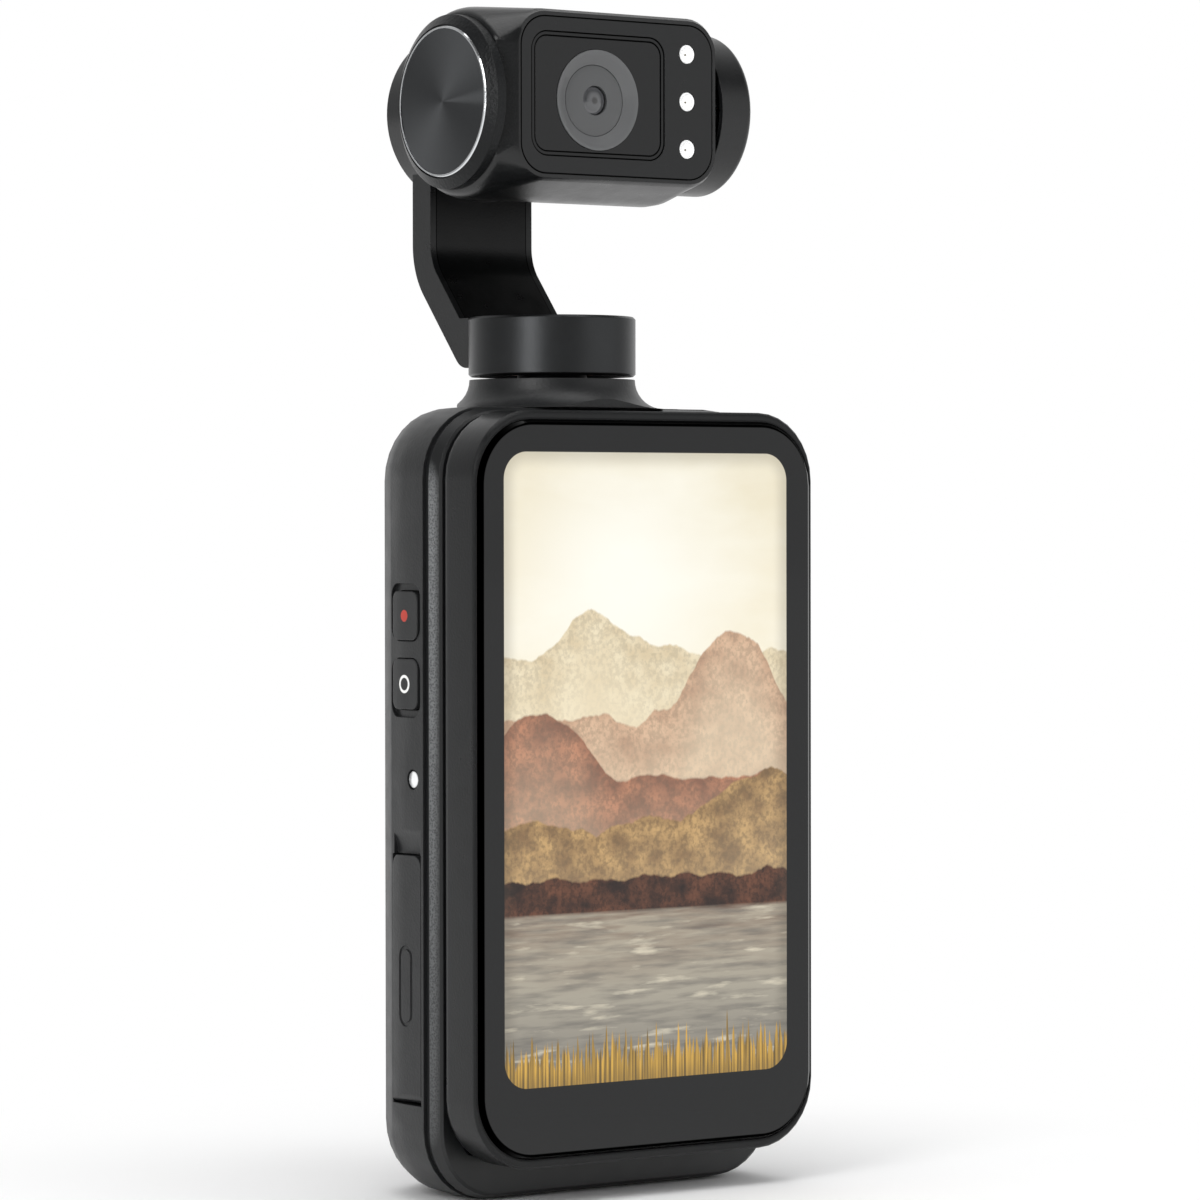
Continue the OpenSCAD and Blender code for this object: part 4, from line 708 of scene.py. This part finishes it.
def dome(radius, height, base):
    """Profile of a shallow dome from its rim to its top."""
    ball = (radius ** 2 + height ** 2) / (2 * height)
    rim = math.asin(radius / ball)
    angles = [rim * (1 - i / DOME_STEPS) for i in range(DOME_STEPS + 1)]
    points = [(ball * math.sin(a), base + ball * math.cos(a) - ball + height) for a in angles]
    points[-1] = (0, base + height)
    return points


def make_lens():
    """Curved glass over the lens, seen as a grey bowl with a dark front lens in its middle."""
    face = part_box("face_plate")[0].y
    ring = middle("lens_ring")
    centre = Vector((ring.x, face, ring.z))
    low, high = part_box("front_lens")
    lens_radius = (high.x - low.x) / 2 / MM
    lens_back = -(high.y - face) / MM
    lens_front = -(low.y - face) / MM
    dome_height = 0.4
    glass = [(0, lens_back), (lens_radius, lens_back), *dome(lens_radius, dome_height, lens_front)]
    lathe("front_lens_dome", glass, [centre], OUT_OF_FACE, "head", lens_coating(),
          ["front_lens"])

    # Glass surround that rises from the ring to a rim round the front lens
    base = -(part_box("lens_barrel")[0].y - face) / MM
    outer = 4.42
    rim = lens_radius + 0.12
    edge = 0.06
    rise = 0.28
    shares = [i / SLOPE_STEPS for i in range(SLOPE_STEPS + 1)]
    slope = [(outer - (outer - rim) * s, base + edge + rise * math.sin(math.pi / 2 * s)) for s in shares]
    lip = (rim - 0.03, base + edge + rise - 0.05)
    surround = [(rim, base), (outer, base), *slope, lip, (rim, base)]
    lathe("lens_surround", surround, [centre], OUT_OF_FACE, "head",
          lens_grey("lens_bowl", "4a4b4c", 0.16))


def lamp_lens():
    """Milky lens that glows faintly."""
    look = Look("lamp_lens", 0.08, coat_weight=1.0)
    look.set("Base Color", look.mix(look.noise(0.6), colour("f1f2f3"), colour("ffffff")))
    look.set("Emission Color", colour("ffffff"))
    look.set("Emission Strength", 0.12)
    look.relief(look.noise(0.4), 0.01, 0.04)
    return look


def lamp_chip():
    """Chip behind a lamp's lens."""
    look = Look("lamp_chip", 0.3, 0.4)
    look.set("Base Color", look.mix(look.noise(0.1), colour("3a3a38"), colour("8a8060")))
    look.relief(look.noise(0.1), 0.005, 0.02)
    return look


def make_lamps():
    """Three lamps in the face, each a domed lens sunk in a rim with a chip on it."""
    low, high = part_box("ir_leds")
    centre = (low + high) / 2
    radius = (high.x - low.x) / 2 / MM
    depth = (high.y - low.y) / MM
    pitch = (high.z - low.z) / 2 - radius * MM
    centres = [Vector((centre.x, low.y, centre.z + i * pitch)) for i in (-1, 0, 1)]
    sink = 0.35
    rim = 0.18
    rounding = 0.06
    front = -0.05
    inner = radius - rim
    bulge = dome(inner - 0.02, sink - rounding, -sink)
    lens = [(0, -depth), (radius, -depth), (radius, -2 * rounding), (radius - rounding, front),
            (inner, front), (inner, -sink), *bulge]
    lathe("lamp_lenses", lens, centres, OUT_OF_FACE, "head", lamp_lens(), ["ir_leds"])
    chip_radius = 0.11
    chip_depth = 0.2
    chip = [(0, -chip_depth), (chip_radius, -chip_depth), (chip_radius, -0.005), (chip_radius - 0.03, 0.0),
            (0, 0.0)]
    chips = [c + Vector((-0.3, -0.02, -0.1)) * MM for c in centres]
    lathe("lamp_chips", chip, chips, OUT_OF_FACE, "head", lamp_chip())


def make_status_light():
    """Domed lens of the status light on the left side."""
    low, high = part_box("status_light")
    centre = (low + high) / 2
    radius = (high.z - low.z) / 2 / MM
    depth = (high.x - low.x) / MM
    height = 0.34
    lens = [(0, -depth), (radius, -depth), *dome(radius, height, -height)]
    lathe("status_lens", lens, [Vector((low.x, centre.y, centre.z))], OUT_OF_LEFT, "grip",
          status_lamp(), ["status_light"])


def make_floor():
    """Pale floor. Near the object it takes light and shadow, further out it is as white as the background."""
    data = bpy.data.meshes.new("floor")
    side = FLOOR_HALF * MM
    corners = [(-side, -side), (side, -side), (side, side), (-side, side)]
    data.from_pydata([(x, y, -FLOOR_DROP * MM) for x, y in corners], [], [(0, 1, 2, 3)])
    floor = bpy.data.objects.new("floor", data)
    bpy.context.scene.collection.objects.link(floor)
    look = Look("floor", 0.9)
    look.set("Base Color", look.mix(look.noise(40.0), colour("f6f6f6"), colour("fbfbfb")))
    look.set("Specular IOR Level", 0.0)
    flat = look.add("ShaderNodeVectorMath", operation="LENGTH")
    look.put(flat.inputs[0], look.place)
    away = look.remap(flat.outputs["Value"], FLOOR_NEAR * MM, FLOOR_FAR * MM, smooth=True)
    path = look.add("ShaderNodeLightPath")
    seen = look.sum("MAXIMUM", path.outputs["Is Camera Ray"], path.outputs["Is Glossy Ray"])
    seen = look.sum("MAXIMUM", seen, path.outputs["Is Transmission Ray"])
    white = look.add("ShaderNodeEmission")
    blend = look.add("ShaderNodeMixShader")
    look.put(blend.inputs[0], look.sum("MULTIPLY", seen, away))
    look.put(blend.inputs[1], look.shader.outputs[0])
    look.put(blend.inputs[2], white.outputs[0])
    look.put(look.tree.nodes["Material Output"].inputs["Surface"], blend.outputs[0])
    data.materials.append(look.material)


def make_world():
    """White to the camera. Gloss sees white behind the object, a darker room in front of it, and a white
    patch on the right of the room, which flat front faces mirror."""
    world = bpy.data.worlds.new("studio")
    bpy.context.scene.world = world
    world.use_nodes = True
    tree = world.node_tree
    tree.nodes.clear()
    add, link = tree.nodes.new, tree.links.new
    path = add("ShaderNodeLightPath")
    place = add("ShaderNodeTexCoord")

    def ramp(direction, low, high, to_low, to_high):
        """Value that changes with the angle to a direction."""
        facing = add("ShaderNodeVectorMath")
        facing.operation = "DOT_PRODUCT"
        facing.inputs[1].default_value = direction
        link(place.outputs["Generated"], facing.inputs[0])
        value = add("ShaderNodeMapRange")
        link(facing.outputs["Value"], value.inputs["Value"])
        for socket, number in zip(("From Min", "From Max", "To Min", "To Max"), (low, high, to_low, to_high)):
            value.inputs[socket].default_value = number
        return value.outputs[0]

    level = add("ShaderNodeMath")
    level.operation = "MAXIMUM"
    link(ramp(TO_CAMERA, BEHIND, FRONT, GLOSS_BEHIND, GLOSS_FRONT), level.inputs[0])
    link(ramp(TO_MIRRORED, MIRRORED_EDGE, MIRRORED_FULL, 0.0, GLOSS_MIRRORED), level.inputs[1])
    gloss, room, white = (add("ShaderNodeBackground") for _ in range(3))
    for background in (gloss, room, white):
        background.inputs["Color"].default_value = (1, 1, 1, 1)
    room.inputs["Strength"].default_value = ROOM_LIGHT
    first, second = add("ShaderNodeMixShader"), add("ShaderNodeMixShader")
    clear = add("ShaderNodeMath")
    clear.operation = "MAXIMUM"
    out = add("ShaderNodeOutputWorld")
    link(level.outputs[0], gloss.inputs["Strength"])
    link(path.outputs["Is Glossy Ray"], first.inputs[0])
    link(room.outputs[0], first.inputs[1])
    link(gloss.outputs[0], first.inputs[2])
    link(path.outputs["Is Camera Ray"], clear.inputs[0])
    link(path.outputs["Is Transmission Ray"], clear.inputs[1])
    link(clear.outputs[0], second.inputs[0])
    link(first.outputs[0], second.inputs[1])
    link(white.outputs[0], second.inputs[2])
    link(second.outputs[0], out.inputs["Surface"])


def make_lights():
    """Soft boxes round the object, unseen by the camera."""
    for name, place, (width, height), radiance, in_gloss in SOFTBOXES:
        data = bpy.data.lights.new(name, "AREA")
        data.shape = "RECTANGLE"
        data.size = width * MM
        data.size_y = height * MM
        data.energy = radiance * math.pi * data.size * data.size_y
        lamp = bpy.data.objects.new(name, data)
        bpy.context.scene.collection.objects.link(lamp)
        lamp.location = Vector(place) * MM
        lamp.rotation_mode = "QUATERNION"
        lamp.rotation_quaternion = (LIGHTS_AIM - lamp.location).to_track_quat("-Z", "Y")
        lamp.visible_camera = False
        lamp.visible_glossy = in_gloss


dress_nodes()
make_lens()
make_lamps()
make_status_light()
make_floor()
make_world()
make_lights()
bpy.context.scene.view_settings.view_transform = "Standard"
